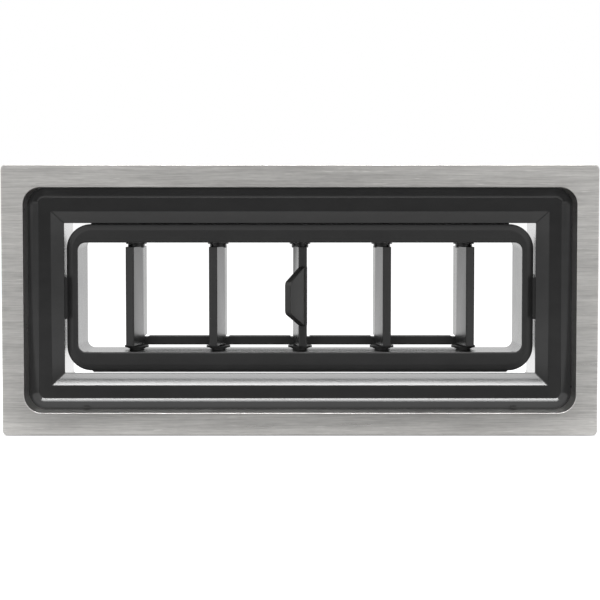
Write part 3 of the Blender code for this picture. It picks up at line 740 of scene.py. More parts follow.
@dataclass(frozen=True)
class Mouth:
    """The stepped opening: bezel rim, bullnose, flat ledge and mitred funnel, in to the lip of the throat."""

    rim_side: float = 0.0051
    rim_top: float = 0.0053
    opening_corner: float = 0.0042
    flange: float = 0.0012
    flange_lap: float = 0.0029
    flange_corner: float = 0.002
    nose_side: float = 0.0022
    nose_top: float = 0.0025
    nose_depth: float = 0.001
    nose_steps: int = 12
    step_corner: float = 0.0014
    ledge: float = 0.00305
    funnel: float = 0.00288
    funnel_depth: float = 0.002
    crease_inset: float = 0.0012
    crease_depth: float = 0.00094
    mitre: float = 0.0002

    @property
    def opening(self) -> Ring:
        """The bezel's opening at the flange's front."""
        rim = Ring(cad_high.x, cad_high.z, 0.0, 0.0)
        return rim.inset(self.rim_side, self.rim_top, self.opening_corner, -self.flange)

    @property
    def flange_edge(self) -> Ring:
        """The flange's outline at the seat."""
        return self.opening.inset(-self.flange_lap, -self.flange_lap, self.flange_corner, 0.0)

    @property
    def step(self) -> Ring:
        """The step wall where it meets the ledge."""
        opening = self.opening
        return opening.inset(self.nose_side, self.nose_top, self.step_corner, opening.y + self.nose_depth)

    @property
    def nose(self) -> list[Ring]:
        """The bullnose's arc, from the bezel's opening in to just before the ledge."""
        opening = self.opening
        turn = 2 * math.atan2(self.nose_depth, self.nose_top)
        rings = []
        for index in range(self.nose_steps):
            angle = turn * index / self.nose_steps
            share = math.sin(angle) / math.sin(turn)
            depth = self.nose_depth * (1 - math.cos(angle)) / (1 - math.cos(turn))
            corner = opening.corner + (self.step_corner - opening.corner) * share
            inset = (self.nose_side * share, self.nose_top * share)
            rings.append(opening.inset(*inset, corner, opening.y + depth))
        return rings

    @property
    def ledge_edge(self) -> Ring:
        """The ledge's inner edge, where the funnel starts."""
        step = self.step
        return step.inset(self.ledge, self.ledge, self.mitre, step.y)

    @property
    def crease(self) -> Ring:
        """The faint crease part of the way down the funnel."""
        start = self.ledge_edge
        return start.inset(self.crease_inset, self.crease_inset, self.mitre, start.y + self.crease_depth)

    @property
    def lip(self) -> Ring:
        """The funnel's end, the narrowest part of the mouth."""
        start = self.ledge_edge
        return start.inset(self.funnel, self.funnel, self.mitre, start.y + self.funnel_depth)


@dataclass(frozen=True)
class Screws:
    """The four countersunk screws that hold the housing in the bezel."""

    mouth: Mouth
    diameter: float = 0.002
    head_diameter: float = 0.0034
    head_chamfer: Point2 = (0.0001, 0.00008)
    length: float = 0.0055
    inset: float = 0.00245
    recess_width: float = 0.00038
    recess_span: float = 0.0019
    recess_depth: float = 0.0006
    first_turn_deg: float = 51.0
    next_turn_deg: float = 31.0

    @property
    def head_height(self) -> float:
        """Height of the 90 degree head."""
        return (self.head_diameter - self.diameter) / 2

    @property
    def hole(self) -> float:
        """The clearance hole's diameter."""
        return self.diameter + 2 * SEAT_GAP

    @property
    def places(self) -> list[Point2]:
        """The x and z of each screw."""
        edge = self.mouth.flange_edge
        x, z = edge.half_x - self.inset, edge.half_z - self.inset
        return [(side_x * x, side_z * z) for side_x, side_z in CORNER_SIGNS]

    def holes(self, start_y: float, end_y: float, end_diameter: float | None = None) -> Form:
        """Straight or widening holes between two depths.

        Args:
            start_y: the depth where they start.
            end_y: the depth where they end.
            end_diameter: their width at the end, where they widen.

        Returns:
            The form.
        """
        form = Form()
        for x, z in self.places:
            form.rod((x, start_y, z), (x, end_y, z), self.hole, end_diameter)
        return form

    def countersinks(self) -> Form:
        """The cones that the heads sit in."""
        return self.holes(-self.head_height, OVERRUN, self.hole + 2 * (self.head_height + OVERRUN))

    def build(self, coats: Coats) -> None:
        """Model each screw with a cross recess.

        Args:
            coats: the vent's finishes.
        """
        radius, neck = self.head_diameter / 2, self.diameter / 2
        land, rim = self.head_chamfer
        head = [(0.0, 0.0), (radius - land, 0.0), (radius, -rim), (neck, -self.head_height)]
        tip = [(neck, -self.length + neck / 2), (neck / 2, -self.length), (0.0, -self.length)]
        width, span = self.recess_width / 2, self.recess_span / 2
        for index, (x, z) in enumerate(self.places):
            spot = Matrix.Translation((x, 0.0, z))
            place = spot @ Matrix.Rotation(-math.pi / 2, 4, "X")
            screw = Form().turned(head + tip).moved(place).piece(f"screw_{index + 1}")
            angle = math.radians(self.first_turn_deg + self.next_turn_deg * index)
            turn = spot @ Matrix.Rotation(angle, 4, "Y")
            for size_x, size_z in ((width, span), (span, width)):
                slot = Form().block((-size_x, -self.recess_depth, -size_z), (size_x, OVERRUN, size_z))
                carve(screw, slot.moved(turn))
            coats.plated.dress(screw, Body.HOUSING.value, f"bezel_screw_{index + 1}")


@dataclass(frozen=True)
class Bezel:
    """The machined rim round the opening."""

    mouth: Mouth
    screws: Screws
    corner: float = 0.0011
    edge: float = 0.00022
    opening_edge: float = 0.00014
    rebate_edge: float = 0.0001
    corner_steps: int = 14

    def build(self, coats: Coats) -> None:
        """Model the rim with its rebate and blind screw holes.

        Args:
            coats: the vent's finishes.
        """
        outer = Ring(cad_high.x, cad_high.z, self.corner, cad_low.y, self.edge)
        opening = self.mouth.opening
        rebate = self.mouth.flange_edge.grown(SEAT_GAP)
        floor_y = opening.y - SEAT_GAP
        back = [outer, outer.at(0.0), rebate.at(0.0, self.rebate_edge), rebate.at(floor_y)]
        front = [opening.at(floor_y, self.rebate_edge), opening.at(outer.y, self.opening_edge)]
        bezel = Form().skin(back + front, self.corner_steps).piece("bezel_rim")
        carve(bezel, self.screws.holes(-self.screws.length - SEAT_GAP, 0.0))
        coats.bezel.dress(bezel, Body.HOUSING.value, "bezel")


@dataclass(frozen=True)
class TiltFrame:
    """The rounded frame that carries the vanes."""

    stile: float = 0.0027
    rail: float = 0.0045
    corner: float = 0.006
    corner_steps: int = 14
    inner_corner: float = 0.0019
    draft_side: float = 0.0003
    draft_top: float = 0.0005
    bevel: float = 0.0015
    bevel_depth: float = 0.00012
    face_fillet: float = 0.0001
    side_fillet: float = 0.0002
    rear_fillet: float = 0.0003
    inner_fillet: float = 0.00025
    boss_diameter: float = 0.0052
    boss_drop: float = 0.0005
    pin_bore: float = 0.0024
    pin_engagement: float = 0.0032
    bush_hole: float = 0.0042
    spot_face: float = 0.0006
    spot_diameter: float = 0.0111
    spot_steps: int = 64
    pivot_bore: float = 0.0036
    pivot_reach: float = 0.0013
    crown_reach: float = 0.0022
    crown_rise: float = 0.0013
    crown_radius: float = 0.0216
    crown_root: float = 0.0003
    crown_end_space: float = 0.0055
    crown_steps: int = 28
    tilt: Vector = field(default_factory=lambda: joint_position("frame_tilt"))

    @property
    def outside(self) -> Ring:
        """The outer outline at the front."""
        low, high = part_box("tilt_frame")
        return Ring(high.x, high.z - self.crown_reach, self.corner, low.y)

    @property
    def inside(self) -> Ring:
        """The inner outline at the front."""
        outer = self.outside
        return outer.inset(self.stile, self.rail, self.inner_corner, outer.y, self.inner_fillet)

    @property
    def depth(self) -> float:
        """The frame's depth."""
        low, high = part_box("tilt_frame")
        return high.y - low.y

    @property
    def boss_face(self) -> float:
        """The height of the bosses' faces, on which the vanes' necks run."""
        return self.inside.half_z - self.boss_drop

    def floor_z(self, y: float) -> float:
        """The height of the drafted floor at a depth."""
        share = (y - self.outside.y) / self.depth
        return -(self.inside.half_z + self.draft_top * share)

    def rings(self) -> list[Ring]:
        """The section, bevelled outside and drafted inside.

        Returns:
            The rings, corner by corner.
        """
        outer, inner = self.outside, self.inside
        rear_y = outer.y + self.depth
        return [
            replace(outer.grown(-self.bevel), fillet=self.face_fillet),
            outer.at(outer.y + self.bevel_depth, self.side_fillet),
            outer.at(rear_y, self.rear_fillet),
            inner.inset(-self.draft_side, -self.draft_top, inner.corner, rear_y, self.side_fillet),
            inner,
        ]

    def crown(self, half_turns: int) -> Form:
        """The arched crown that closes the gap to the throat, on the top or turned over to the bottom.

        Args:
            half_turns: 0 for the top, 1 for the bottom.

        Returns:
            The form.
        """
        sweep = math.acos(1 - (self.crown_rise + self.crown_root) / self.crown_radius)
        centre = Vector((self.tilt.y, self.outside.half_z + self.crown_rise - self.crown_radius))
        angles = [sweep * (1 - 2 * step / self.crown_steps) for step in range(self.crown_steps + 1)]
        arc = [Vector((math.sin(angle), math.cos(angle))) for angle in angles]
        outline = [centre + self.crown_radius * point for point in arc]
        reach = self.outside.half_x - self.crown_end_space
        form = Form().slab(outline, -reach, reach)
        sideways = Matrix.Rotation(math.pi / 2, 4, "Z") @ Matrix.Rotation(math.pi / 2, 4, "X")
        return form.moved(Matrix.Rotation(half_turns * math.pi, 4, "Y") @ sideways)

    def build(self, coats: Coats) -> None:
        """Model the frame with its crowns, bosses, pin holes and spot faces.

        Args:
            coats: the vent's finishes.
        """
        tilt_frame = Form().skin(self.rings(), self.corner_steps).piece("tilting_frame")
        for half_turns in (0, 1):
            carve(tilt_frame, self.crown(half_turns), Cut.JOIN)
        face, outside = self.boss_face, self.outside
        bosses, bores, sides, spots = Form(), Form(), Form(), Form()
        for number in range(1, len(VANE_SPLAYS_DEG) + 1):
            x, y, _ = vane_pivot(number)
            bosses.post(x, y, face, self.inside.half_z + self.rail / 2, self.boss_diameter)
            bores.post(x, y, face - OVERRUN, face + self.pin_engagement + SEAT_GAP, self.pin_bore)
            below = -outside.half_z - self.crown_rise - OVERRUN
            bores.post(x, y, below, self.floor_z(y) + OVERRUN, self.bush_hole)
        inner_x = outside.half_x - self.spot_face
        for side in (-1, 1):
            start = (side * (outside.half_x + OVERRUN), self.tilt.y, 0.0)
            sides.rod(start, (side * (inner_x - self.pivot_reach), self.tilt.y, 0.0), self.pivot_bore)
            spots.rod(start, (side * inner_x, self.tilt.y, 0.0), self.spot_diameter, segments=self.spot_steps)
        carve(tilt_frame, bosses, Cut.JOIN)
        for tool in (bores, sides, spots):
            carve(tilt_frame, tool)
        coats.satin.dress(tilt_frame, Body.TILT.value, "tilt_frame")


@dataclass(frozen=True)
class Housing:
    """The moulded box: flange, bullnosed mouth, ledge, mitred funnel and open throat."""

    mouth: Mouth
    screws: Screws
    tilt_frame: TiltFrame
    wall: float = 0.0017
    lip_land: float = 0.0004
    flare: float = 0.0014
    throat_corner: float = 0.002
    swing_gap: float = 0.0006
    edge: float = 0.00012
    nub_size: Triple = (0.0013, 0.0008, 0.0006)
    nub_corner_distance: float = 0.01375
    pad_stand: float = 0.00067
    pad_depth: float = 0.0003
    pad_height: float = 0.0101
    peg_diameter: float = 0.0024
    peg_height: float = 0.0016
    screw_hole_start: float = -0.003
    pivot_bore: float = 0.0036
    pivot_overrun: float = 0.002

    @property
    def rear_y(self) -> float:
        """The plane of the open rear."""
        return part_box("housing")[1].y

    @property
    def cavity_z(self) -> float:
        """Half the height of the throat, which clears the tilting frame's corners."""
        return math.hypot(self.tilt_frame.depth / 2, self.tilt_frame.outside.half_z) + self.swing_gap

    def half_width(self, y: float) -> float:
        """Half the width between the flared side walls at a depth."""
        lip = self.mouth.lip
        return lip.half_x + self.flare * (y - lip.y) / (self.rear_y - lip.y)

    def throat(self, y: float, fillet: float = 0.0) -> Ring:
        """The throat's inner outline at a depth."""
        return Ring(self.half_width(y), self.cavity_z, self.throat_corner, y, fillet)

    def rings(self) -> list[Ring]:
        """The section, along the mouth and throat to the rear and back outside.

        Returns:
            The rings, corner by corner.
        """
        mouth, wall = self.mouth, self.wall
        step, lip, flange = mouth.step, mouth.lip, mouth.flange_edge
        land_y = lip.y + self.lip_land
        front, rear = self.throat(land_y + SEAT_GAP), self.throat(self.rear_y, self.edge)
        shoulder = step.grown(wall).at(step.y + wall)
        waist = self.throat(front.y + wall).grown(wall)
        return [
            *mouth.nose,
            replace(step, fillet=self.edge),
            replace(mouth.ledge_edge, fillet=self.edge),
            mouth.crease,
            replace(lip, fillet=self.edge),
            replace(lip, half_x=self.half_width(land_y), y=land_y),
            front,
            rear,
            rear.grown(wall),
            waist,
            replace(waist, half_x=mouth.ledge_edge.half_x + wall, y=shoulder.y),
            replace(shoulder, fillet=self.edge),
            shoulder.at(0.0),
            replace(flange, fillet=self.edge),
            flange.at(mouth.opening.y, self.edge),
        ]

    def pegs(self, peg_y: float, spacing: float) -> Form:
        """The pegs that the spring clips sit on.

        Args:
            peg_y: the depth of their axes.
            spacing: the distance between two.

        Returns:
            The form.
        """
        form = Form()
        root, tip = self.cavity_z + self.wall / 2, self.cavity_z + self.wall + self.peg_height
        for side_x, side_z in CORNER_SIGNS:
            form.post(side_x * spacing / 2, peg_y, side_z * root, side_z * tip, self.peg_diameter)
        return form

    def nubs(self) -> Form:
        """The two small nubs that stand up against the bezel's lower inner wall.

        Returns:
            The form.
        """
        form = Form()
        opening = self.mouth.opening
        width, reach, height = self.nub_size
        low_z = -(opening.half_z - SEAT_GAP)
        for side in (-1, 1):
            x = side * (opening.half_x - self.nub_corner_distance)
            low = (x - width / 2, opening.y - reach, low_z)
            form.block(low, (x + width / 2, opening.y + self.mouth.nose_depth, low_z + height))
        return form

    def pads(self) -> Form:
        """The pads just behind the lip that cover the ends of the tilt axis.

        Returns:
            The form.
        """
        form = Form()
        lip = self.mouth.lip
        start_y = lip.y + self.lip_land / 2
        near_x, far_x = lip.half_x - self.pad_stand, lip.half_x + self.wall / 3
        for low_x, high_x in ((-far_x, -near_x), (near_x, far_x)):
            low = (low_x, start_y, -self.pad_height / 2)
            form.block(low, (high_x, start_y + self.pad_depth, self.pad_height / 2))
        return form

    def bores(self) -> Form:
        """The holes for the tilt pins.

        Returns:
            The form.
        """
        form = Form()
        y = self.tilt_frame.tilt.y
        reach = self.half_width(y)
        for side in (-1, 1):
            end_x = side * (reach + self.wall + self.pivot_overrun)
            form.rod((side * (reach - self.pivot_overrun), y, 0.0), (end_x, y, 0.0), self.pivot_bore)
        return form

    def build(self, coats: Coats, peg_y: float, peg_spacing: float) -> None:
        """Model the housing with its pegs, nubs, pads and holes.

        Args:
            coats: the vent's finishes.
            peg_y: the depth of the clips' pegs.
            peg_spacing: the distance between two pegs.
        """
        housing = Form().skin(self.rings()).piece("housing_shell")
        for tool in (self.pegs(peg_y, peg_spacing), self.nubs(), self.pads()):
            carve(housing, tool, Cut.JOIN)
        holes = self.screws.holes(self.screw_hole_start, -self.screws.head_height)
        for tool in (holes, self.screws.countersinks(), self.bores()):
            carve(housing, tool)
        coats.gloss.dress(housing, Body.HOUSING.value, "housing")


@dataclass(frozen=True)
class Vane:
    """One upright vane with its pivot pins, crank pin and, in the middle, the thumb tab."""

    number: int
    splay_deg: float
    front_arm: float = 0.0079
    rear_arm: float = 0.0082
    front: float = 0.002
    middle: float = 0.0035
    rear: float = 0.0018
    edge: float = 0.0003
    rim: float = 0.0001
    pin: float = 0.0018
    neck: float = 0.0042
    neck_height: float = 0.0003
    neck_gap: float = 0.00006
    crank_boss: float = 0.0028
    crank_boss_height: float = 0.0014
    yaw_limit_deg: float = 35.0
    tab_reach: float = 0.0097
    tab_lean_deg: float = 20.5
    tab_base: float = 0.0146
    tab_tip: float = 0.0076
    tab_thickness: float = 0.0015
    tab_rise: float = 0.0001
    tab_corner: float = 0.0009
    tab_edge: float = 0.00022

    @property
    def splay(self) -> float:
        """How far the vane is turned at rest, in radians."""
        return math.radians(self.splay_deg)

    @property
    def crank(self) -> float:
        """How far the crank pin stands behind the pivot."""
        return joint_position("link_bar_pivot").y - vane_pivot(self.number).y

    def blade(self, low: float, high: float) -> Form:
        """The blade about its pivot, a long hexagon in plan with softened edges.

        Args:
            low: the height of its foot.
            high: the height of its top.

        Returns:
            The blade.
        """
        front, middle, rear = self.front / 2, self.middle / 2, self.rear / 2
        left = [(-rear, self.rear_arm), (-middle, 0.0)]
        right = [(-front, -self.front_arm), (front, -self.front_arm), (middle, 0.0), (rear, self.rear_arm)]
        form = Form().slab(right + left, low, high)
        half = (high - low) / 2
        upright = form.edges_where(lambda edge: abs(edge.verts[0].co.z - edge.verts[1].co.z) > half)
        form.bevel([edge for edge in upright if abs(edge.verts[0].co.y) > self.edge], self.edge, 3)
        form.soften(self.rim)
        return form.moved(Matrix.Rotation(self.splay, 4, "Z"))

    def notch_start(self, bar_depth: float) -> float:
        """How far back the foot reaches and still clears the bar at both limits.

        Args:
            bar_depth: the link bar's depth.

        Returns:
            The notch's front, behind the pivot.
        """
        limit = math.radians(self.yaw_limit_deg)
        sideways = self.middle / 2 + self.crank * abs(math.sin(self.splay)) / 2
        return self.crank - bar_depth / 2 / math.cos(limit) - sideways * math.tan(limit) - SEAT_GAP

    def tab(self) -> Form:
        """The thumb tab, a plate that narrows to its tip and leans to the left.

        Returns:
            The tab about the vane's pivot.
        """
        base, tip, half = self.tab_base / 2, self.tab_tip / 2, self.tab_thickness / 2
        lower = [(-self.front, -base), (0.0, -base), (self.tab_reach, -tip)]
        form = Form().slab(lower + [(x, -height) for x, height in reversed(lower)], -half, half)
        across = form.edges_where(lambda edge: abs(edge.verts[0].co.z - edge.verts[1].co.z) > half)
        form.bevel([edge for edge in across if edge.verts[0].co.x > self.tab_reach / 2], self.tab_corner, 5)
        form.soften(self.tab_edge, 3)
        forwards = Matrix.Rotation(-math.pi / 2, 4, "Z") @ Matrix.Rotation(math.pi / 2, 4, "X")
        lean = Matrix.Rotation(-math.radians(self.tab_lean_deg), 4, "Z")
        foot_x = self.front_arm * math.sin(self.splay) - (self.front - self.tab_thickness) / 2
        foot = Matrix.Translation((foot_x, -self.front_arm * math.cos(self.splay), self.tab_rise))
        return form.moved(foot @ lean @ forwards)

    def build(self, coats: Coats, face: float) -> None:
        """Model the vane round its pivot.

        Args:
            coats: the vent's finishes.
            face: the height of the frame's boss, on which the neck runs.
        """
        node = f"vane_{self.number}"
        low_pin, high_pin = (corner.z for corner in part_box(node))
        bar_low, bar_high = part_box("link_bar")
        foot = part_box(f"vane_bush_{self.number}")[1].z + SEAT_GAP
        top = face - SEAT_GAP - self.neck_height
        notch_z = bar_high.z + SEAT_GAP
        pivot, crank = vane_pivot(self.number), self.crank
        to_pivot = Matrix.Translation((pivot.x, pivot.y, 0.0))
        vane = self.blade(foot, top).moved(to_pivot).piece(f"{node}_blade")
        reach = self.rear_arm + OVERRUN
        notch_y = self.notch_start(bar_high.y - bar_low.y)
        carve(vane, Form().block((-reach, notch_y, foot - OVERRUN), (reach, reach, notch_z)).moved(to_pivot))
        boss = Form().post(0, crank, notch_z, notch_z + self.crank_boss_height, self.crank_boss)
        neck = Form().post(0, 0, top - self.neck_height, face - self.neck_gap, self.neck)
        pins = Form().post(0, 0, top - self.pin, high_pin, self.pin)
        pins.post(0, 0, low_pin, foot + self.pin, self.pin)
        pins.post(0, crank, bar_low.z - SEAT_GAP, notch_z + self.pin / 2, self.pin)
        for form in (boss, neck, pins):
            carve(vane, form.moved(to_pivot), Cut.JOIN)
        coats.satin.dress(vane, node, node)
        if self.number == TAB_VANE:
            coats.grip.dress(self.tab().moved(to_pivot).piece("thumb_tab"), node, node)


@dataclass(frozen=True)
class Bush:
    """A flanged bush under a vane's foot."""

    number: int
    flange: float = 0.006
    flange_thickness: float = 0.00047
    neck: float = 0.0044
    shank: float = 0.0036
    bore: float = 0.0024
    edge: float = 0.00008

    def build(self, coats: Coats, tilt_frame: TiltFrame) -> None:
        """Turn the bush, with its shoulder on the frame's sloping floor.

        Args:
            coats: the vent's finishes.
            tilt_frame: the frame that carries the bush.
        """
        node = f"vane_bush_{self.number}"
        low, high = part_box(node)
        edge, flange, neck = self.edge, self.flange / 2, self.neck / 2
        shank, bore = self.shank / 2, self.bore / 2
        under = high.z - self.flange_thickness
        shoulder = tilt_frame.floor_z(vane_pivot(self.number).y - neck) + SEAT_GAP
        top = [(bore, high.z), (flange - edge, high.z), (flange, high.z - edge)]
        below = [(flange, under + edge), (flange - edge, under), (neck, under), (neck, shoulder)]
        stem = [(shank, shoulder), (shank, low.z), (bore, low.z)]
        centre = (low + high) / 2
        place = Matrix.Translation((centre.x, centre.y, 0.0))
        form = Form().turned(top + below + stem, loop=True).moved(place)
        # The bush takes the nylon colour, lightened partly as painted light against the shade under the
        # vanes.
        coats.nylon.dress(form.piece(f"bush_{self.number}"), Body.TILT.value, node)


@dataclass(frozen=True)
class LinkBar:
    """The bar that joins the vanes' crank pins."""

    seat_drop: float = 0.00025
    seat_width: float = 0.0046
    bore: float = 0.0024
    edge: float = 0.00018

    def build(self, coats: Coats) -> None:
        """Model the bar with a set-down seat and a bore at each vane.

        Args:
            coats: the vent's finishes.
        """
        low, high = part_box("link_bar")
        centres = [vane_pivot(number).x for number in range(1, len(VANE_SPLAYS_DEG) + 1)]
        seat_z = high.z - self.seat_drop
        top: list[Point2] = []
        for x in centres:
            left, right = x - self.seat_width / 2, x + self.seat_width / 2
            top += [(left - self.seat_drop, high.z), (left, seat_z)]
            top += [(right, seat_z), (right + self.seat_drop, high.z)]
        inside = [point for point in top if abs(point[0]) < high.x - self.seat_drop]
        edge_line = [(low.x, seat_z), *inside, (high.x, seat_z)]
        outline = [(low.x, low.z), (high.x, low.z), *reversed(edge_line)]
        form = Form().slab(outline, -high.y, -low.y).moved(Matrix.Rotation(math.pi / 2, 4, "X"))
        form.soften(self.edge)
        bar = form.piece("link_rail")
        bores = Form()
        for x in centres:
            bores.post(x, (low.y + high.y) / 2, low.z - OVERRUN, high.z + OVERRUN, self.bore)
        carve(bar, bores)
        # The bar takes the lighter nylon colour, painted light against the shade it sits in.
        coats.bar.dress(bar, Body.LINK.value, "link_bar")


@dataclass(frozen=True)
class TiltPivots:
    """The headed pins and the friction washers at both ends of the tilt axis."""

    pin: float = 0.003
    head_thickness: float = 0.001
    edge: float = 0.00025
    bore: float = 0.0036
    washer_edge: float = 0.0001
    washer_steps: int = 64

    def extent(self, node: str) -> tuple[float, float, float]:
        """A node's inner and outer distance from the middle of the vent, and its radius."""
        low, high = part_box(node)
        return (*sorted((abs(low.x), abs(high.x))), (high.z - low.z) / 2)

    def build(self, coats: Coats) -> None:
        """Turn a pin and a washer for each side.

        Args:
            coats: the vent's finishes.
        """
        for side, word in ((-1, "left"), (1, "right")):
            outwards = Vector((side, 0, 0)).to_track_quat("Z", "Y").to_matrix().to_4x4()
            turn = Matrix.Translation(joint_position("frame_tilt")) @ outwards
            tip, head, rim = self.extent(f"tilt_pin_{word}")
            edge, shank, under = self.edge, self.pin / 2, head - self.head_thickness
            cap = [(0.0, head), (rim - edge, head), (rim, head - edge), (rim, under)]
            stem = [(shank, under), (shank, tip + edge), (shank - edge, tip), (0.0, tip)]
            pin = Form().turned(cap + stem).moved(turn).piece(f"pivot_pin_{word}")
            coats.plated.dress(pin, Body.HOUSING.value, f"tilt_pin_{word}")
            inner, outer, rim = self.extent(f"friction_washer_{word}")
            edge, bore = self.washer_edge, self.bore / 2
            front = [(bore, outer), (rim - edge, outer), (rim, outer - edge)]
            back = [(rim, inner + edge), (rim - edge, inner), (bore, inner)]
            washer = Form().turned(front + back, loop=True, steps=self.washer_steps).moved(turn)
            coats.nylon.dress(washer.piece(f"washer_{word}"), Body.HOUSING.value, f"friction_washer_{word}")


@dataclass(frozen=True)
class Clips:
    """The spring clips on the housing that grip behind the panel."""

    thickness: float = 0.0005
    base_length: float = 0.014
    bend_radius: float = 0.0011
    bend_steps: int = 10
    arm_rise: float = 0.0036
    panel_space: float = 0.0034
    tip: Point2 = (-0.0008, -0.0008)
    hole: float = 0.003
    edge: float = 0.00008

    @property
    def rear_y(self) -> float:
        """Where the straight base ends and the bend starts."""
        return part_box("dash_clip_1")[1].y - self.bend_radius - self.thickness / 2

    @property
    def peg_y(self) -> float:
        """The depth of the pegs' axes."""
        return self.rear_y - self.base_length / 2

    @property
    def spacing(self) -> float:
        """The distance between the clips on one side."""
        low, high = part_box("dash_clip_1")
        return low.x + high.x

    def path(self) -> list[Vector]:
        """The centre line in y and height: base, bend, spring arm and tip.

        Returns:
            The line's points.
        """
        arm_end = Vector((self.panel_space, self.arm_rise))
        centre = Vector((self.rear_y, self.bend_radius))
        to_end = arm_end - centre
        arm_angle = math.atan2(to_end.y, to_end.x) - math.acos(self.bend_radius / to_end.length)
        turn = arm_angle + math.pi / 2
        line = [Vector((self.rear_y - self.base_length, 0.0))]
        for step in range(self.bend_steps + 1):
            angle = -math.pi / 2 + turn * step / self.bend_steps
            line.append(centre + self.bend_radius * Vector((math.cos(angle), math.sin(angle))))
        return [*line, arm_end, arm_end + Vector(self.tip)]

    def strip(self, width: float) -> Form:
        """The bent strip, with the underside of its base half its thickness below zero.

        Args:
            width: the strip's width.

        Returns:
            The strip, centred on X.
        """
        form = Form()
        mesh = form.mesh
        points = [mesh.verts.new((-width / 2, point.x, point.y)) for point in self.path()]
        edges = [mesh.edges.new(pair) for pair in zip(points, points[1:])]
        swept = bmesh.ops.extrude_edge_only(mesh, edges=edges)["geom"]
        far = [item for item in swept if isinstance(item, BMVert)]
        bmesh.ops.translate(mesh, verts=far, vec=(width, 0.0, 0.0))
        form.closed()
        bmesh.ops.solidify(mesh, geom=list(mesh.faces), thickness=self.thickness)
        lowest = min(vert.co.z for vert in mesh.verts)
        bmesh.ops.translate(mesh, verts=mesh.verts, vec=(0.0, 0.0, -self.thickness / 2 - lowest))
        return form

    def build(self, coats: Coats) -> None:
        """Model each clip as a bent strip with a hole for its peg.

        Args:
            coats: the vent's finishes.
        """
        reach = 2 * self.thickness
        for number, (side_x, side_z) in enumerate(CORNER_SIGNS, start=1):
            node = f"dash_clip_{number}"
            low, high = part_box(node)
            base_z = min(abs(low.z), abs(high.z)) + self.thickness / 2
            flip = Matrix.Identity(4) if side_z > 0 else Matrix.Rotation(math.pi, 4, "Y")
            place = Matrix.Translation((side_x * self.spacing / 2, 0.0, side_z * base_z)) @ flip
            clip = self.strip(high.x - low.x).moved(place).piece(f"spring_clip_{number}")
            carve(clip, Form().post(0.0, self.peg_y, -reach, reach, self.hole).moved(place))
            edge_break(clip, self.edge)
            coats.steel.dress(clip, Body.HOUSING.value, node)


@dataclass(frozen=True)
class Softbox:
    """A rectangular lamp that faces the vent."""

    name: str
    place: Triple
    size: Point2
    power: float

    def hang(self) -> None:
        """Add the lamp to the scene."""
        lamp = bpy.data.lights.new(self.name, "AREA")
        lamp.shape = "RECTANGLE"
        lamp.size, lamp.size_y = self.size
        lamp.energy = self.power
        box = add_object(self.name, lamp)
        box.location = self.place
        box.rotation_euler = Vector(self.place).to_track_quat("Z", "Y").to_euler()
        box.visible_camera = False


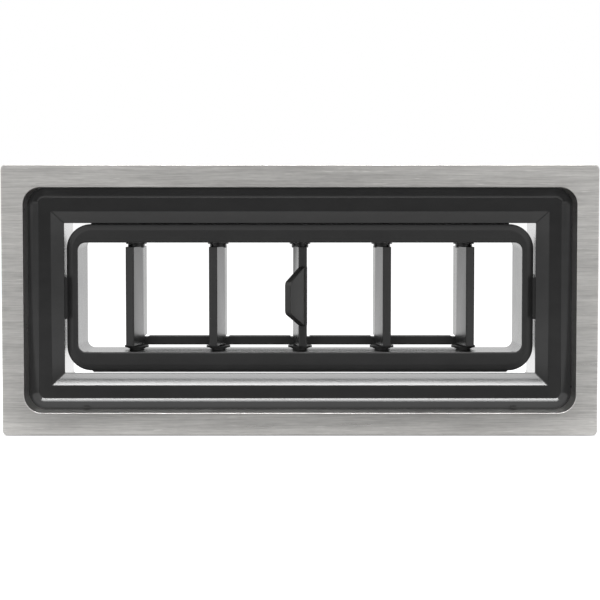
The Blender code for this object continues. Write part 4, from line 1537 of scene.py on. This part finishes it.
@dataclass(frozen=True)
class Studio:
    """The floor, the lamps, the world and the camera."""

    distance: float = 0.400
    height: float = 0.021
    aim_z: float = 0.00013
    lens: float = 102.7
    near_clip: float = 0.01
    floor_size: float = 6.0
    floor_drop: float = 0.0002
    floor_grey: float = 0.8
    floor_glow: float = 0.65
    # The floor's look in reflections is painted: dimmed in front, with a brighter strip close in front,
    # brighter flanks and a glow behind, placed for the vent's highlights.
    mirrored_dimming: float = 0.63  # how far the floor in front darkens for reflections
    strip_y: Sequence[float] = (-0.03, -0.025, -0.012, -0.008)  # the brighter strip close in front
    strip_dimming: float = 0.5
    strip_glow: float = 0.45
    behind_y: Point2 = (0.0, 0.03)
    flank_x: Point2 = (0.055, 0.077)  # the brighter floor at both sides
    flank_lean: float = 0.16
    front_level: float = 0.25
    back_level: float = 0.8
    side_level: float = 1.2
    ambient: float = 0.6
    above_z: Point2 = (0.01, 0.06)  # directions, as the others below
    away_y: Point2 = (-0.992, -0.967)
    wall_y: Point2 = (-0.999, -0.962)
    lamps: Sequence[Softbox] = (
        Softbox("top softbox", (0.0, -0.166, 0.472), (0.28, 0.05), 1.0),
        Softbox("top fill", (0.0, -0.2575, 0.4286), (0.28, 0.1), 0.8),
    )

    def floor(self) -> None:
        """Lay a pale floor that is white to the camera and keeps a shadow; to reflections it is painted
        darker in front, with painted brighter patches close in front, at the flanks and behind, placed for
        the highlights they make on the vent.
        """
        form = Form()
        bmesh.ops.create_grid(form.mesh, x_segments=1, y_segments=1, size=self.floor_size / 2)
        floor = form.moved(Matrix.Translation((0.0, 0.0, cad_low.z - self.floor_drop))).piece("floor")
        material = bpy.data.materials.new("pale floor")
        material.use_nodes = True
        material.node_tree.nodes.clear()
        graph = Graph(material.node_tree)
        camera, glossy, through = self.ray_kinds(graph)
        place = graph.place("Object")
        depth = graph.axis(place, "Y")
        flank = graph.span(abs(graph.axis(place, "X")) + depth * self.flank_lean, *self.flank_x)
        strip = graph.span(depth, *self.strip_y[:2]) * graph.span(depth, *self.strip_y[2:], 1.0, 0.0)
        behind = graph.span(depth, *self.behind_y)
        dark = (1 - behind - strip * (1 - self.strip_dimming)) * (1 - flank)
        shade = self.floor_grey - glossy * dark * self.mirrored_dimming
        colour = graph.node("CombineColor", sockets={0: shade, 1: shade, 2: shade})
        matt = graph.node("BsdfDiffuse", sockets={"Color": colour})
        seen = (camera + through + glossy * (behind + strip * self.strip_glow)) * self.floor_glow
        glow = graph.node("Emission", sockets={"Color": (1, 1, 1, 1), "Strength": seen})
        both = graph.node("AddShader", sockets={0: matt, 1: glow})
        graph.node("OutputMaterial", sockets={"Surface": both}, output=None)
        floor.data.materials.append(material)

    def world(self) -> None:
        """Surround the vent with white, which dims in front and most of all round the camera."""
        world = bpy.data.worlds.new("studio")
        bpy.context.scene.world = world
        world.use_nodes = True
        graph = Graph(world.node_tree)
        background = world.node_tree.nodes["Background"]
        background.inputs["Color"].default_value = (1.0, 1.0, 1.0, 1.0)
        way = graph.place("Generated")
        ahead = graph.axis(way, "Y")
        above, away = graph.span(graph.axis(way, "Z"), *self.above_z), graph.span(ahead, *self.away_y)
        walls = graph.span(ahead, *self.wall_y, self.back_level, self.side_level)
        studio = self.front_level + (above + away - above * away) * (walls - self.front_level)
        camera, glossy, through = self.ray_kinds(graph)
        other = 1 - (camera + through + glossy)
        level = camera + through + glossy * studio + other * self.ambient
        graph.feed(background.inputs["Strength"], level)

    def ray_kinds(self, graph: Graph) -> list[Signal]:
        """Tell which rays come from the camera, from reflections and through glass.

        Args:
            graph: the node tree to add to.

        Returns:
            A signal for each of the three.
        """
        path = graph.tree.nodes.new("ShaderNodeLightPath")
        kinds = ("Is Camera Ray", "Is Glossy Ray", "Is Transmission Ray")
        return [Signal(graph, path.outputs[kind]) for kind in kinds]

    def camera(self) -> None:
        """Look at the face from just above its middle."""
        lens = bpy.data.cameras.new("camera")
        lens.lens = self.lens
        lens.clip_start = self.near_clip
        eye = add_object("camera", lens)
        aim = Vector((0.0, cad_low.y, self.aim_z))
        eye.location = aim + Vector((0.0, -self.distance, self.height))
        eye.rotation_euler = (aim - eye.location).to_track_quat("-Z", "Y").to_euler()
        bpy.context.scene.camera = eye

    def build(self) -> None:
        """Set the whole studio up."""
        bpy.context.scene.view_settings.view_transform = "Standard"
        self.floor()
        self.world()
        for lamp in self.lamps:
            lamp.hang()
        self.camera()


def main() -> None:
    """Build every piece of the vent and the studio round it."""
    logging.basicConfig(level=logging.INFO, format="%(message)s")
    coats, mouth, clips, tilt_frame = Coats(), Mouth(), Clips(), TiltFrame()
    screws = Screws(mouth)
    Bezel(mouth, screws).build(coats)
    Housing(mouth, screws, tilt_frame).build(coats, clips.peg_y, clips.spacing)
    for group in (screws, clips, tilt_frame, TiltPivots()):
        group.build(coats)
    for number, splay in enumerate(VANE_SPLAYS_DEG, start=1):
        Vane(number, splay).build(coats, tilt_frame.boss_face)
        Bush(number).build(coats, tilt_frame)
    LinkBar().build(coats)
    Studio().build()


if __name__ == "__main__":
    main()
